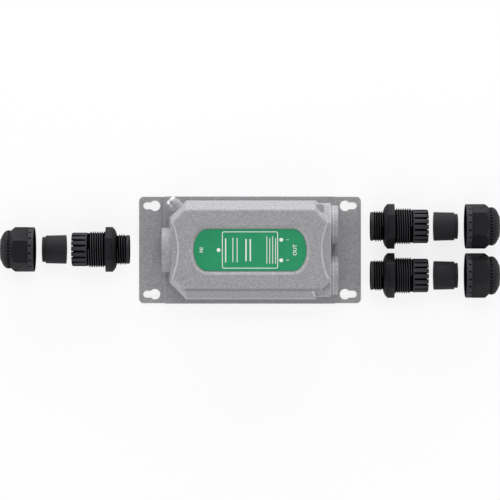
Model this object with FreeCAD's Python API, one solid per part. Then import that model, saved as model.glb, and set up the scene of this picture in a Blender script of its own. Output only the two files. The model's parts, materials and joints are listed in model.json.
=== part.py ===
import FreeCAD, Part
import math
import os

# Outdoor PoE extender: a die-cast housing that lies on its back, and the three cable glands of its
# ports, taken apart and laid out in line with the ports.
# Millimetres. +Z is up, away from the mounting face, and +X runs from the inlet end to the outlet end.
# The origin is the centre of the mounting face.

# Mounting ears
ear_reach = 16.6
ear_side_setback = 0.3
ear_thickness = 2.5
ear_corner_radius = 3.0
keyhole_end_margin = 10.5
keyhole_side_margin = 5.95
keyhole_head_radius = 3.5
keyhole_slot_radius = 2.3
keyhole_slot_shift = 5.5

# Base
base_end_rim = 3.0
base_side_rim = 2.7
base_height = 6.0
base_floor = 2.5
base_corner_radius = 1.3
base_edge_radius = 0.6
base_land = 5.8

# Cover, outside
middle_room = 1.2
port_side_room = 16.15
cover_top = 36.5
cover_corner_cut = 11.7
cover_draft = 1.8
cover_inlet_draft = 2.9
cover_outlet_draft = 1.35
cover_end_step = 1.6
cover_end_step_length = 10.4
bevel_height = 5.2
deck_side_run = 6.8
deck_corner_cut = 9.7
cover_edge_radius = 0.7
deck_edge_radius = 2.2
shoulder_slope = 35.0

# Cover, ends of the deck
ledge_depth = 1.2
ledge_arc_radius = 44.8
ledge_end_room = 7.2
ledge_slope_run = 0.8

# Cover, inside
wall = 2.8
roof_thickness = 4.0

# Label and its pocket
label_led_room = 16.4
label_width = 27.5
label_end_length = 9.1
label_thickness = 0.4
pocket_margin = 2.4
pocket_depth = 1.6

# Cable ports
port_height = 18.5
port_pitch = 33.5
port_radius = 10.05
port_reach = 3.8
port_run_out = 0.1
inlet_collar_width = 29.2
inlet_collar_radius = 15.5
outlet_collar_width = 25.4
outlet_collar_radius = 13.0
collar_arc_share = 0.63
collar_side_slope = 62.0
collar_foot_margin = 1.4
collar_foot_height = 6.0
collar_foot_setback = 2.0
collar_root = 0.3

# Ground terminal
ground_height = 20.0
ground_shift = 1.1
ground_boss_radius = 4.0
ground_boss_length = 4.2
ground_thread_radius = 2.0
ground_bore_clearance = 0.05
ground_screw_length = 10.0
ground_head_radius = 3.7
ground_head_height = 2.7
ground_head_crown = 1.2
ground_washer_radius = 4.2
ground_washer_thickness = 0.8
spring_washer_radius = 3.8
spring_washer_thickness = 1.1
spring_washer_gap = 0.8
washer_clearance = 0.15
cross_width = 0.9
cross_length = 3.8
cross_depth = 1.4

# Screws that close the housing
pillar_radius = 3.8
inlet_pillar_end_room = 10.6
inlet_pillar_side_room = 10.0
outlet_pillar_radius = 2.5
outlet_pillar_end_room = 8.2
outlet_pillar_side_room = 5.1
housing_thread_radius = 1.5
housing_screw_length = 10.0
housing_head_radius = 2.8
housing_head_height = 1.9
housing_head_sink = 2.4
screw_play = 0.2
screw_tip_room = 2.0
blind_bore_room = 0.6
thread_play = 0.05

# Gasket
gasket_width = 1.3
gasket_height = 1.3

# Circuit board
board_thickness = 1.6
board_gap = 2.2
board_screw_inlet_end_room = 21.0
board_screw_outlet_end_room = 31.5
board_screw_inlet_side_room = 9.9
board_screw_outlet_side_room = 6.9
standoff_radius = 2.9
board_thread_radius = 1.25
board_screw_length = 6.0
board_head_radius = 2.4
board_head_height = 1.6

# Modular jacks
jack_width = 15.4
jack_height = 12.9
jack_length = 21.2
jack_wall_gap = 1.7
shield_thickness = 0.3
socket_width = 11.9
socket_height = 7.9
socket_depth = 12.5
socket_centre = 6.9
latch_width = 6.2
latch_height = 1.9
contact_count = 8
contact_pitch = 1.02
contact_radius = 0.2
contact_drop = 2.7

# Parts on the board
magnetics_length = 17.5
magnetics_width = 12.8
magnetics_height = 6.0
magnetics_gap = 9.6
chip_size = 12.0
chip_height = 1.2
chip_x = 8.0
pad_size = 11.0
pad_thickness = 1.0
pedestal_size = 14.0
led_size = 1.6
led_height = 0.8
inductor_x = -11.0
inductor_y = 17.5
inductor_size = 12.0
inductor_height = 7.0
capacitor_radius = 4.0
capacitor_height = 11.5
capacitor_x = -11.0
capacitor_y = -17.5
capacitor_pitch = 10.0

# Light pipes
light_pipe_radius = 1.25
light_pipe_play = 0.05
light_pipe_flange_radius = 2.2
light_pipe_flange_height = 1.0
light_pipe_gap = 0.4
inlet_led_room = 1.8
outlet_led_room = 1.7
outlet_led_pitch = 13.4

# Cable glands: how they lie
ear_to_body = 5.7
nut_to_seal = 4.8
seal_to_body = 4.0
inlet_gland_y = 0.4
outlet_gland_1_y = 15.6
outlet_gland_2_y = -16.8

# Gland body
claw_count = 17
claw_radius = 11.1
claw_length = 10.0
claw_slit = 1.2
claw_slit_phase = 8.2
claw_tip_run = 0.8
neck_radius = 10.6
neck_length = 0.8
nut_thread_radius = 11.8
nut_thread_length = 11.4
hex_across_flats = 25.7
body_hex_length = 5.0
flange_radius = 14.2
flange_length = 2.4
housing_thread_shank_radius = 10.0
housing_thread_shank_length = 6.4
pilot_radius = 9.5
pilot_length = 2.2
body_bore_radius = 7.4
seal_play = 0.2
seat_depth = 15.2
seat_taper = 2.2
thread_end_bevel = 0.5

# Gland seal
seal_radius = 9.5
seal_thin_radius = 9.2
seal_length = 15.7
seal_nose_radius = 8.3
seal_nose_length = 2.6
seal_bore_radius = 3.5
seal_edge = 0.5

# Gland nut
nut_length = 23.0
nut_mouth_radius = 6.8
nut_dome_radius = 12.7
nut_dome_length = 5.7
nut_groove_radius = 12.1
nut_groove_length = 1.5
nut_hex_start_radius = 12.3
nut_hex_bevel_length = 3.0
nut_ring_radius = 14.7
nut_ring_length = 3.9
nut_thread_play = 0.1
nut_thread_depth = 13.0
nut_turn = 7.0
nut_notch_start = 0.6
nut_notch_count = 18
nut_notch_width = 1.0
nut_notch_depth = 0.7
nut_notch_length = 1.7

# Values worked out from the sizes above
cover_width = port_pitch + 2 * port_side_room
base_width = cover_width + 2 * base_side_rim
ear_width = base_width - 2 * ear_side_setback
deck_width = cover_width - 2 * deck_side_run
cover_length = 2 * (middle_room + magnetics_length + magnetics_gap + jack_length + jack_wall_gap + wall)
half_length = cover_length / 2
half_width = cover_width / 2
base_length = cover_length + 2 * base_end_rim
ear_length = base_length + 2 * ear_reach
ledge_reach = half_length - ledge_end_room
port_end = half_length + port_reach
inlet_led_x = -middle_room - magnetics_length - inlet_led_room
outlet_led_x = middle_room + magnetics_length + outlet_led_room
label_length = 2 * (label_led_room - inlet_led_x)
keyhole_spacing_x = ear_length - 2 * keyhole_end_margin
keyhole_spacing_y = ear_width - 2 * keyhole_side_margin
inlet_pillar_x = half_length - inlet_pillar_end_room
inlet_pillar_y = half_width - inlet_pillar_side_room
outlet_pillar_x = half_length - outlet_pillar_end_room
outlet_pillar_y = half_width - outlet_pillar_side_room
board_screw_inlet_x = half_length - board_screw_inlet_end_room
board_screw_outlet_x = half_length - board_screw_outlet_end_room
board_screw_inlet_y = half_width - board_screw_inlet_side_room
board_screw_outlet_y = half_width - board_screw_outlet_side_room
cover_height = cover_top - base_height
shoulder_z = cover_top - bevel_height
ceiling_z = cover_top - roof_thickness
pocket_z = cover_top - pocket_depth
diagonal = (half_length + half_width - cover_corner_cut) / math.sqrt(2)
deck_diagonal = (half_length - cover_draft + deck_width / 2 - deck_corner_cut) / math.sqrt(2)
jack_bottom = port_height - socket_centre
board_bottom = jack_bottom - board_thickness
outlet_port_y = port_pitch / 2
body_length = (claw_length + neck_length + nut_thread_length + body_hex_length + flange_length
               + housing_thread_shank_length + pilot_length)
layout_end = (ear_length / 2 + ear_to_body + body_length + seal_to_body + seal_length + nut_to_seal
              + nut_length)
hex_corner_radius = hex_across_flats / math.sqrt(3)
beyond = 20.0

X_AXIS = FreeCAD.Vector(1, 0, 0)
Z_AXIS = FreeCAD.Vector(0, 0, 1)
ORIGIN = FreeCAD.Vector(0, 0, 0)
OUTWARD = FreeCAD.Vector(-1, 1, 0).normalize()


def vec(x, y, z):
    return FreeCAD.Vector(x, y, z)


def block(x0, x1, y0, y1, z0, z1):
    # A box between two corners
    return Part.makeBox(x1 - x0, y1 - y0, z1 - z0, vec(x0, y0, z0))


def face_of(points):
    return Part.Face(Part.makePolygon(points + [points[0]]))


def fuse(shapes):
    # One solid from several that meet
    return shapes[0].multiFuse(shapes[1:]).removeSplitter()


def cut(shape, tools):
    return shape.cut(Part.makeCompound(tools)).removeSplitter()


def turned(profile):
    # A solid of revolution about X from points (x, radius)
    points = [vec(x, 0, r) for x, r in profile]
    return face_of(points).revolve(ORIGIN, X_AXIS, 360)


def rounded_block(length, width, z0, z1, radius):
    # A plate centred on Z with round vertical corners
    plate = block(-length / 2, length / 2, -width / 2, width / 2, z0, z1)
    corners = [e for e in plate.Edges if abs(e.tangentAt(e.FirstParameter).z) > 0.9]
    return plate.makeFillet(radius, corners)


def edges_between(shape, z0, z1):
    # The edges of a shape that lie whole between two heights
    return [e for e in shape.Edges if e.BoundBox.ZMin > z0 and e.BoundBox.ZMax < z1]


def end_draft(end):
    return cover_outlet_draft if end > 0 else cover_inlet_draft


def lean_at(z):
    # The share of their lean that the cover's walls have reached at a height
    return (z - base_height) / cover_height


def housing_outline(inset, z, lean=0.0):
    # The cover's plan view, drawn in by an inset: bevelled inlet corners, square stepped outlet end
    inlet_x = half_length - inset - cover_inlet_draft * lean
    outlet_x = half_length - inset - cover_outlet_draft * lean
    y = half_width - inset - cover_draft * lean
    y_step = y - cover_end_step
    corner = (diagonal - inset - cover_draft * lean) * math.sqrt(2)
    step_x = half_length - cover_end_step_length
    upper = [(-inlet_x, corner - inlet_x), (y - corner, y), (step_x, y), (step_x + cover_end_step, y_step),
             (outlet_x, y_step)]
    lower = [(px, -py) for px, py in reversed(upper)]
    return [vec(px, py, z) for px, py in upper + lower]


def housing_prism(inset, z0, z1):
    return face_of(housing_outline(inset, z0)).extrude(vec(0, 0, z1 - z0))


def draft_at(z):
    # How far the cover's long walls have leant in at a height
    return cover_draft * lean_at(z)


def inner_end(end, z):
    # How far from the middle the inside of an end wall stands at a height
    return half_length - wall - end_draft(end) * lean_at(z)


def drafted_body(inset, z0, z1):
    # A flat-sided solid whose walls lean in towards the top
    low = housing_outline(inset, z0, lean_at(z0))
    high = housing_outline(inset, z1, lean_at(z1))
    faces = [face_of(low), face_of(high)]
    for i in range(len(low)):
        j = (i + 1) % len(low)
        faces.append(face_of([low[i], low[j], high[j], high[i]]))
    solid = Part.Solid(Part.Shell(faces))
    if solid.Volume < 0:
        solid.reverse()
    return solid


def long_bevel(side, inset):
    # What the bevel along one long side takes off
    low_y = half_width - draft_at(shoulder_z) - inset
    high_y = deck_width / 2 - inset
    rise = (cover_top - shoulder_z) / (low_y - high_y)
    top_z = cover_top - inset
    points = [(high_y - beyond, top_z + rise * beyond), (low_y + beyond, top_z + rise * beyond),
              (low_y + beyond, top_z - rise * (low_y - high_y + beyond))]
    profile = face_of([vec(-half_length - beyond, side * y, z) for y, z in points])
    return profile.extrude(vec(2 * (half_length + beyond), 0, 0))


def corner_bevel(end, side, inset):
    # What the bevel on one corner of the deck takes off
    low_d = diagonal - draft_at(shoulder_z) - inset
    high_d = deck_diagonal - inset
    rise = (cover_top - shoulder_z) / (low_d - high_d)
    low_z = shoulder_z - inset
    out = vec(end, side, 0).normalize()
    along = vec(-end, side, 0).normalize()
    points = [(high_d - bevel_height, low_z + rise * (low_d - high_d + bevel_height)),
              (low_d + beyond, low_z + rise * (low_d - high_d + bevel_height))]
    if end < 0:
        points += [(low_d + beyond, low_z - rise * beyond)]
    else:
        points += [(low_d + beyond, low_z), (low_d, low_z)]
    start = along * -base_length
    profile = face_of([out * d + start + vec(0, 0, z) for d, z in points])
    return profile.extrude(along * (2 * base_length))


def corner_shoulder(side, inset):
    # What is taken off above the sloping shoulder at a corner of the outlet end
    low_d = diagonal - draft_at(shoulder_z)
    inner_y = low_d * math.sqrt(2) - half_length + cover_outlet_draft * lean_at(shoulder_z)
    low_d -= inset
    out = vec(1, side, 0).normalize()
    along = vec(-1, side, 0).normalize()
    start = out * low_d + along * -base_length
    across = along * (2 * base_length)
    plan = face_of([start, start + out * beyond, start + out * beyond + across, start + across])
    plan = plan.extrude(vec(0, 0, cover_top + beyond))
    fall = math.tan(math.radians(shoulder_slope))
    high_z = shoulder_z - inset * math.hypot(1, fall)
    slope = [(inner_y - beyond, high_z + fall * beyond), (inner_y + beyond, high_z - fall * beyond),
             (inner_y + beyond, cover_top + beyond), (inner_y - beyond, cover_top + beyond)]
    above = face_of([vec(0, side * y, z) for y, z in slope]).extrude(vec(half_length + beyond, 0, 0))
    return plan.common(above)


def deck_ledge(end):
    # The round-backed ledge above a port end
    centre = vec(end * (ledge_reach + ledge_arc_radius), 0, cover_top - ledge_depth)
    grow = ledge_slope_run / ledge_depth
    return Part.makeCone(ledge_arc_radius - ledge_slope_run, ledge_arc_radius + grow,
                         ledge_depth + 1.0, centre, Z_AXIS)


def collar(end, y, width, radius):
    # One port collar: round on top, flat sloping flanks, a foot on the base
    def section(half, arc_radius, top_arc, length):
        arc_half = half * collar_arc_share
        arc_z = port_height + math.sqrt(arc_radius ** 2 - arc_half ** 2)
        side_z = arc_z - (half - arc_half) * math.tan(math.radians(collar_side_slope))
        low = [vec(0, y - arc_half, arc_z), vec(0, y - half, side_z), vec(0, y - half, base_height),
               vec(0, y + half, base_height), vec(0, y + half, side_z), vec(0, y + arc_half, arc_z)]
        arc = Part.Arc(low[-1], vec(0, y, port_height + top_arc), low[0]).toShape()
        outline = Part.Wire(Part.makePolygon(low).Edges + [arc])
        return Part.Face(outline).extrude(vec(end * length, 0, 0))
    root = half_length - end_draft(end) - collar_root
    main = section(width / 2, radius, radius, port_end)
    foot_half = width / 2 + collar_foot_margin
    foot_x = sorted([end * root, end * (port_end - collar_foot_setback)])
    foot = block(foot_x[0], foot_x[1], y - foot_half, y + foot_half, base_height,
                 base_height + collar_foot_height)
    inner = block(-root, root, -base_width, base_width, 0, cover_top)
    return main.cut(inner).fuse(foot)


def port_bore(end, y):
    start = vec(end * (inner_end(end, port_height + port_radius) - port_run_out), y, port_height)
    return Part.makeCylinder(port_radius, port_end, start, vec(end, 0, 0))


def label_outline(margin, z):
    # A band with half-elliptical ends
    a = label_end_length + margin
    b = label_width / 2 + margin
    cx = label_length / 2 - label_end_length

    def half_ellipse(sign):
        centre = vec(sign * cx, 0, z)
        if b >= a:
            ellipse = Part.Ellipse(centre + vec(0, b, 0), centre + vec(a, 0, 0), centre)
            first = 0 if sign > 0 else math.pi
        else:
            ellipse = Part.Ellipse(centre + vec(a, 0, 0), centre + vec(0, b, 0), centre)
            first = -math.pi / 2 if sign > 0 else math.pi / 2
        return Part.ArcOfEllipse(ellipse, first, first + math.pi).toShape()
    top = Part.makeLine(vec(cx, b, z), vec(-cx, b, z))
    bottom = Part.makeLine(vec(-cx, -b, z), vec(cx, -b, z))
    return Part.Wire(Part.__sortEdges__([half_ellipse(1), top, half_ellipse(-1), bottom]))


def label_pocket():
    sections = [label_outline(0, pocket_z), label_outline(pocket_margin, cover_top)]
    slope = Part.makeLoft(sections, True, True)
    return slope.fuse(Part.Face(label_outline(pocket_margin, cover_top)).extrude(vec(0, 0, 1)))


def led_places():
    pitch = outlet_led_pitch / 2
    return {"power": (inlet_led_x, 0), "out_1": (outlet_led_x, pitch), "out_2": (outlet_led_x, -pitch)}


def ports():
    # Name, end of the housing, place across it, collar size, where its gland lies
    inlet = (inlet_collar_width, inlet_collar_radius)
    outlet = (outlet_collar_width, outlet_collar_radius)
    return {"in": (-1, 0, inlet, inlet_gland_y), "out_1": (1, outlet_port_y, outlet, outlet_gland_1_y),
            "out_2": (1, -outlet_port_y, outlet, outlet_gland_2_y)}


def pillars():
    # Place and radius of the four pillars that take the closing screws
    rows = []
    for side in (1, -1):
        rows.append((-inlet_pillar_x, side * inlet_pillar_y, pillar_radius))
        rows.append((outlet_pillar_x, side * outlet_pillar_y, outlet_pillar_radius))
    return rows


def board_screw_places():
    rows = ((-board_screw_inlet_x, board_screw_inlet_y), (board_screw_outlet_x, board_screw_outlet_y))
    return [(x, side * y) for x, y in rows for side in (1, -1)]


def upright(x, y, radius, z0, z1):
    return Part.makeCylinder(radius, z1 - z0, vec(x, y, z0), Z_AXIS)


def ground_point(distance):
    # A point on the ground screw's axis, counted from the housing's middle along the diagonal
    along = vec(1, 1, 0).normalize()
    middle = (half_width - half_length) / math.sqrt(2)
    return OUTWARD * distance + along * (middle + ground_shift) + vec(0, 0, ground_height)


def ground_face():
    return diagonal - draft_at(ground_height) + ground_boss_length


def ground_ring(radius, bore, distance, length):
    ring = Part.makeCylinder(radius, length, ground_point(distance), OUTWARD)
    return ring.cut(Part.makeCylinder(bore, length, ground_point(distance), OUTWARD))


def is_sharp(edge, shape):
    # True where two flat faces meet at the edge
    beside = shape.ancestorsOfType(edge, Part.Face)
    return len(beside) == 2 and all(isinstance(f.Surface, Part.Plane) for f in beside)


def cover_outside():
    body = drafted_body(0, base_height, cover_top)
    tools = [long_bevel(1, 0), long_bevel(-1, 0)]
    for end in (-1, 1):
        tools += [corner_bevel(end, 1, 0), corner_bevel(end, -1, 0)]
    tools += [corner_shoulder(1, 0), corner_shoulder(-1, 0)]
    body = cut(body, tools)
    rim = [e for e in body.Edges if e.BoundBox.ZMin > cover_top - 0.01 and abs(e.CenterOfMass.y) > 0.1]
    body = body.makeFillet(deck_edge_radius, rim)
    upper = [e for e in body.Edges if is_sharp(e, body) and e.BoundBox.ZMax > base_height + 1.0]
    body = body.makeFillet(cover_edge_radius, upper)
    return cut(body, [deck_ledge(-1), deck_ledge(1)])


def cover_inside():
    space = drafted_body(wall, base_height, ceiling_z)
    tools = [long_bevel(1, wall), long_bevel(-1, wall)]
    for end in (-1, 1):
        tools += [corner_bevel(end, 1, wall), corner_bevel(end, -1, wall)]
    tools += [corner_shoulder(1, wall), corner_shoulder(-1, wall)]
    return cut(space, tools)


def make_cover():
    space = cover_inside()
    solids = [cover_outside()]
    for end, y, (width, radius), _ in ports().values():
        solids.append(collar(end, y, width, radius))
    face = ground_face()
    root = diagonal - cover_draft - wall / 2
    solids.append(Part.makeCylinder(ground_boss_radius, face - root, ground_point(root), OUTWARD))
    shell = fuse(solids).cut(space)
    room = housing_prism(wall / 2, base_height, ceiling_z + wall / 4)
    posts = [upright(x, y, r, base_height, ceiling_z + wall / 4).common(room) for x, y, r in pillars()]
    half = pedestal_size / 2
    pedestal = block(chip_x - half, chip_x + half, -half, half, jack_bottom + chip_height + pad_thickness,
                     ceiling_z + wall / 4)
    shell = fuse([shell, pedestal] + posts)
    tools = [label_pocket()]
    for end, y, _, _ in ports().values():
        tools.append(port_bore(end, y))
    for x, y, _ in pillars():
        top = housing_head_sink + housing_screw_length + screw_tip_room
        tools.append(upright(x, y, housing_thread_radius, base_height, top))
    for x, y in led_places().values():
        tools.append(upright(x, y, light_pipe_radius + light_pipe_play, ceiling_z - 1, cover_top))
    depth = ground_screw_length - ground_washer_thickness - spring_washer_thickness + blind_bore_room
    bore = ground_thread_radius + ground_bore_clearance
    tools.append(Part.makeCylinder(bore, depth + 1, ground_point(face - depth), OUTWARD))
    return cut(shell, tools)


def keyhole(x_side, y_side):
    # Round head hole with a narrow slot towards the ear's end
    x = x_side * keyhole_spacing_x / 2
    y = y_side * keyhole_spacing_y / 2
    slot_x = x + x_side * keyhole_slot_shift
    x0, x1 = sorted([x, slot_x])
    height = ear_thickness + 2
    head = upright(x, y, keyhole_head_radius, -1, height)
    slot_end = upright(slot_x, y, keyhole_slot_radius, -1, height)
    slot = block(x0, x1, y - keyhole_slot_radius, y + keyhole_slot_radius, -1, height)
    return fuse([head, slot_end, slot])


def make_base_plate():
    ears = rounded_block(ear_length, ear_width, 0, ear_thickness, ear_corner_radius)
    body = rounded_block(base_length, base_width, 0, base_height, base_corner_radius)
    body = body.makeFillet(base_edge_radius, edges_between(body, base_height - 0.01, base_height + 0.01))
    plate = fuse([ears, body])
    pan = housing_prism(base_land, base_floor, base_height + 1)
    lands = [upright(x, y, r + 0.8, 0, base_height) for x, y, r in pillars()]
    plate = plate.cut(pan.cut(Part.makeCompound(lands)))
    posts = [upright(x, y, standoff_radius, base_floor - 0.5, board_bottom) for x, y in board_screw_places()]
    plate = fuse([plate] + posts)
    groove = housing_prism((wall - gasket_width) / 2, base_height - gasket_height, base_height + 1)
    island = housing_prism((wall + gasket_width) / 2, 0, base_height + 2)
    tools = [groove.cut(island)]
    for x, y, _ in pillars():
        tools.append(upright(x, y, housing_head_radius + screw_play, -1, housing_head_sink))
        tools.append(upright(x, y, housing_thread_radius + screw_play, -1, base_height + 1))
    for x, y in board_screw_places():
        low = jack_bottom - board_screw_length - blind_bore_room
        tools.append(upright(x, y, board_thread_radius, low, board_bottom + 1))
    tools += [keyhole(x_side, y_side) for x_side in (-1, 1) for y_side in (-1, 1)]
    return cut(plate, tools)


def make_gasket():
    ring = housing_prism((wall - gasket_width) / 2, base_height - gasket_height, base_height)
    island = housing_prism((wall + gasket_width) / 2, 0, base_height + 2)
    return ring.cut(island)


def make_label():
    plate = Part.Face(label_outline(-0.1, pocket_z)).extrude(vec(0, 0, label_thickness))
    radius = light_pipe_radius + light_pipe_play
    holes = [upright(x, y, radius, pocket_z - 1, cover_top) for x, y in led_places().values()]
    return cut(plate, holes)


def make_light_pipe(x, y):
    low = jack_bottom + led_height + light_pipe_gap
    rod = upright(x, y, light_pipe_radius, low, pocket_z + label_thickness)
    flange = upright(x, y, light_pipe_flange_radius, ceiling_z - light_pipe_flange_height, ceiling_z)
    return fuse([rod, flange])


def make_status_leds():
    half = led_size / 2
    return Part.makeCompound([block(x - half, x + half, y - half / 2, y + half / 2, jack_bottom,
                                    jack_bottom + led_height) for x, y in led_places().values()])


def cross_recess(base, direction, side):
    # A cross cut into a screw head, pointing back along direction
    other = direction.cross(side)
    bars = []
    for long_way, short_way in ((side, other), (other, side)):
        corner = base - long_way * (cross_length / 2) - short_way * (cross_width / 2)
        face = face_of([corner, corner + long_way * cross_length,
                        corner + long_way * cross_length + short_way * cross_width,
                        corner + short_way * cross_width])
        bars.append(face.extrude(direction * (cross_depth + 1)))
    return bars[0].fuse(bars[1])


def make_ground_screw():
    seat = ground_face() + ground_washer_thickness + spring_washer_thickness
    tip_centre = ground_point(seat - ground_screw_length)
    shank = Part.makeCylinder(ground_thread_radius, ground_screw_length, tip_centre, OUTWARD)
    tip = [e for e in shank.Edges if e.Closed]
    tip = min(tip, key=lambda e: e.CenterOfMass.dot(OUTWARD))
    shank = shank.makeChamfer(0.5, [tip])
    head = Part.makeCylinder(ground_head_radius, ground_head_height, ground_point(seat), OUTWARD)
    rim = [e for e in head.Edges if e.Closed]
    rim = max(rim, key=lambda e: e.CenterOfMass.dot(OUTWARD))
    head = head.makeFillet(ground_head_crown, [rim])
    recess = cross_recess(ground_point(seat + ground_head_height - cross_depth), OUTWARD, Z_AXIS)
    return cut(fuse([shank, head]), [recess])


def make_ground_washer():
    return ground_ring(ground_washer_radius, ground_thread_radius + washer_clearance, ground_face(),
                       ground_washer_thickness)


def make_ground_spring_washer():
    start = ground_face() + ground_washer_thickness
    ring = ground_ring(spring_washer_radius, ground_thread_radius + washer_clearance, start,
                       spring_washer_thickness)
    half = spring_washer_gap / 2
    along = vec(1, 1, 0).normalize()
    corner = ground_point(start - 0.5) - along * half
    across = along * spring_washer_gap
    rise = vec(0, 0, spring_washer_radius + 1)
    slit = face_of([corner, corner + across, corner + across + rise, corner + rise])
    return ring.cut(slit.extrude(OUTWARD * (spring_washer_thickness + 1)))


def upright_screw(x, y, seat_z, way, thread_radius, length, head_radius, head_height):
    # A pan head screw along Z: way is 1 where its tip points up and -1 where it points down
    direction = vec(0, 0, way)
    shank = Part.makeCylinder(thread_radius, length, vec(x, y, seat_z), direction)
    head = Part.makeCylinder(head_radius, head_height, vec(x, y, seat_z), direction * -1)
    rims = [e for e in head.Edges if e.Closed]
    rim = min(rims, key=lambda e: e.CenterOfMass.z * way)
    head = head.makeFillet(head_height * 0.4, [rim])
    top = vec(x, y, seat_z) - direction * (head_height * 0.45)
    recess = []
    for dx, dy in ((head_radius * 0.6, cross_width / 3), (cross_width / 3, head_radius * 0.6)):
        corner = top - vec(dx, dy, 0)
        face = face_of([corner, corner + vec(2 * dx, 0, 0), corner + vec(2 * dx, 2 * dy, 0),
                        corner + vec(0, 2 * dy, 0)])
        recess.append(face.extrude(direction * (-head_height)))
    return cut(fuse([shank, head]), recess)


def make_housing_screws():
    screws = []
    for x, y, _ in pillars():
        screws.append(upright_screw(x, y, housing_head_sink, 1, housing_thread_radius - thread_play,
                                    housing_screw_length, housing_head_radius, housing_head_height))
    return Part.makeCompound(screws)


def make_board():
    plate = housing_prism(wall + board_gap, board_bottom, jack_bottom)
    tools = [upright(x, y, r + board_gap, 0, cover_top) for x, y, r in pillars()]
    tools += [upright(x, y, board_thread_radius + screw_play, 0, cover_top) for x, y in board_screw_places()]
    board = cut(plate, tools)
    return max(board.Solids, key=lambda s: s.Volume)


def make_board_screws():
    screws = []
    for x, y in board_screw_places():
        screws.append(upright_screw(x, y, jack_bottom, -1, board_thread_radius - thread_play,
                                    board_screw_length, board_head_radius, board_head_height))
    return Part.makeCompound(screws)


def jack_face(end):
    # The plane of a jack's open front
    return end * (inner_end(end, port_height) - jack_wall_gap)


def along_x(end, front, near, far):
    # Two X values, in order, at two depths behind a jack's front
    return sorted([front - end * near, front - end * far])


def make_jack_shield(end, y):
    front = jack_face(end)
    half = jack_width / 2
    top = jack_bottom + jack_height
    x0, x1 = along_x(end, front, 0, jack_length)
    outer = block(x0, x1, y - half, y + half, jack_bottom, top)
    x0, x1 = along_x(end, front, -1, jack_length - shield_thickness)
    t = shield_thickness
    inner = block(x0, x1, y - half + t, y + half - t, jack_bottom - 1, top - t)
    return outer.cut(inner)


def make_jack_insert(end, y):
    front = jack_face(end)
    t = shield_thickness
    half = jack_width / 2 - t
    x0, x1 = along_x(end, front, t, jack_length - t)
    body = block(x0, x1, y - half, y + half, jack_bottom, jack_bottom + jack_height - t)
    x0, x1 = along_x(end, front, -1, socket_depth)
    low = jack_bottom + socket_centre - socket_height / 2
    tools = [block(x0, x1, y - socket_width / 2, y + socket_width / 2, low, low + socket_height),
             block(x0, x1, y - latch_width / 2, y + latch_width / 2, low - latch_height, low + 1)]
    return cut(body, tools)


def make_jack_contacts(end, y):
    # Eight spring wires that slope back from the top of the socket
    front = jack_face(end)
    top = jack_bottom + socket_centre + socket_height / 2
    wires = []
    for i in range(contact_count):
        wire_y = y + (i - (contact_count - 1) / 2) * contact_pitch
        start = vec(front - end * 2.5, wire_y, top - contact_radius - 0.05)
        finish = vec(front - end * (socket_depth - 0.4), wire_y, top - contact_drop)
        way = finish - start
        wires.append(Part.makeCylinder(contact_radius, way.Length, start, way))
    return Part.makeCompound(wires)


def make_magnetics():
    # One pulse transformer behind each jack
    blocks = []
    for end, y, _, _ in ports().values():
        x0, x1 = along_x(end, jack_face(end), jack_length + magnetics_gap,
                         jack_length + magnetics_gap + magnetics_length)
        half = magnetics_width / 2
        blocks.append(block(x0, x1, y - half, y + half, jack_bottom, jack_bottom + magnetics_height))
    return Part.makeCompound(blocks)


def make_switch_chip():
    half = chip_size / 2
    return block(chip_x - half, chip_x + half, -half, half, jack_bottom, jack_bottom + chip_height)


def make_heat_pad():
    # Soft pad between the chip and the pedestal of the cover
    half = pad_size / 2
    low = jack_bottom + chip_height
    return block(chip_x - half, chip_x + half, -half, half, low, low + pad_thickness)


def make_power_inductor():
    half = inductor_size / 2
    case = block(inductor_x - half, inductor_x + half, inductor_y - half, inductor_y + half, jack_bottom,
                 jack_bottom + inductor_height)
    corners = [e for e in case.Edges if abs(e.tangentAt(e.FirstParameter).z) > 0.9]
    return case.makeFillet(half * 0.35, corners)


def make_capacitors():
    cans = []
    for i in (-0.5, 0.5):
        x = capacitor_x + i * capacitor_pitch
        can = upright(x, capacitor_y, capacitor_radius, jack_bottom, jack_bottom + capacitor_height)
        rims = [e for e in can.Edges if e.Closed]
        cans.append(can.makeFillet(0.5, rims))
    return Part.makeCompound(cans)


def hexagon(x0, x1, turn):
    # A hexagonal prism about X with a flat on top when turn is zero
    points = []
    for i in range(6):
        angle = math.radians(30 + 60 * i + turn)
        points.append(vec(x0, -hex_corner_radius * math.sin(angle), hex_corner_radius * math.cos(angle)))
    return face_of(points).extrude(vec(x1 - x0, 0, 0))


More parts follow.
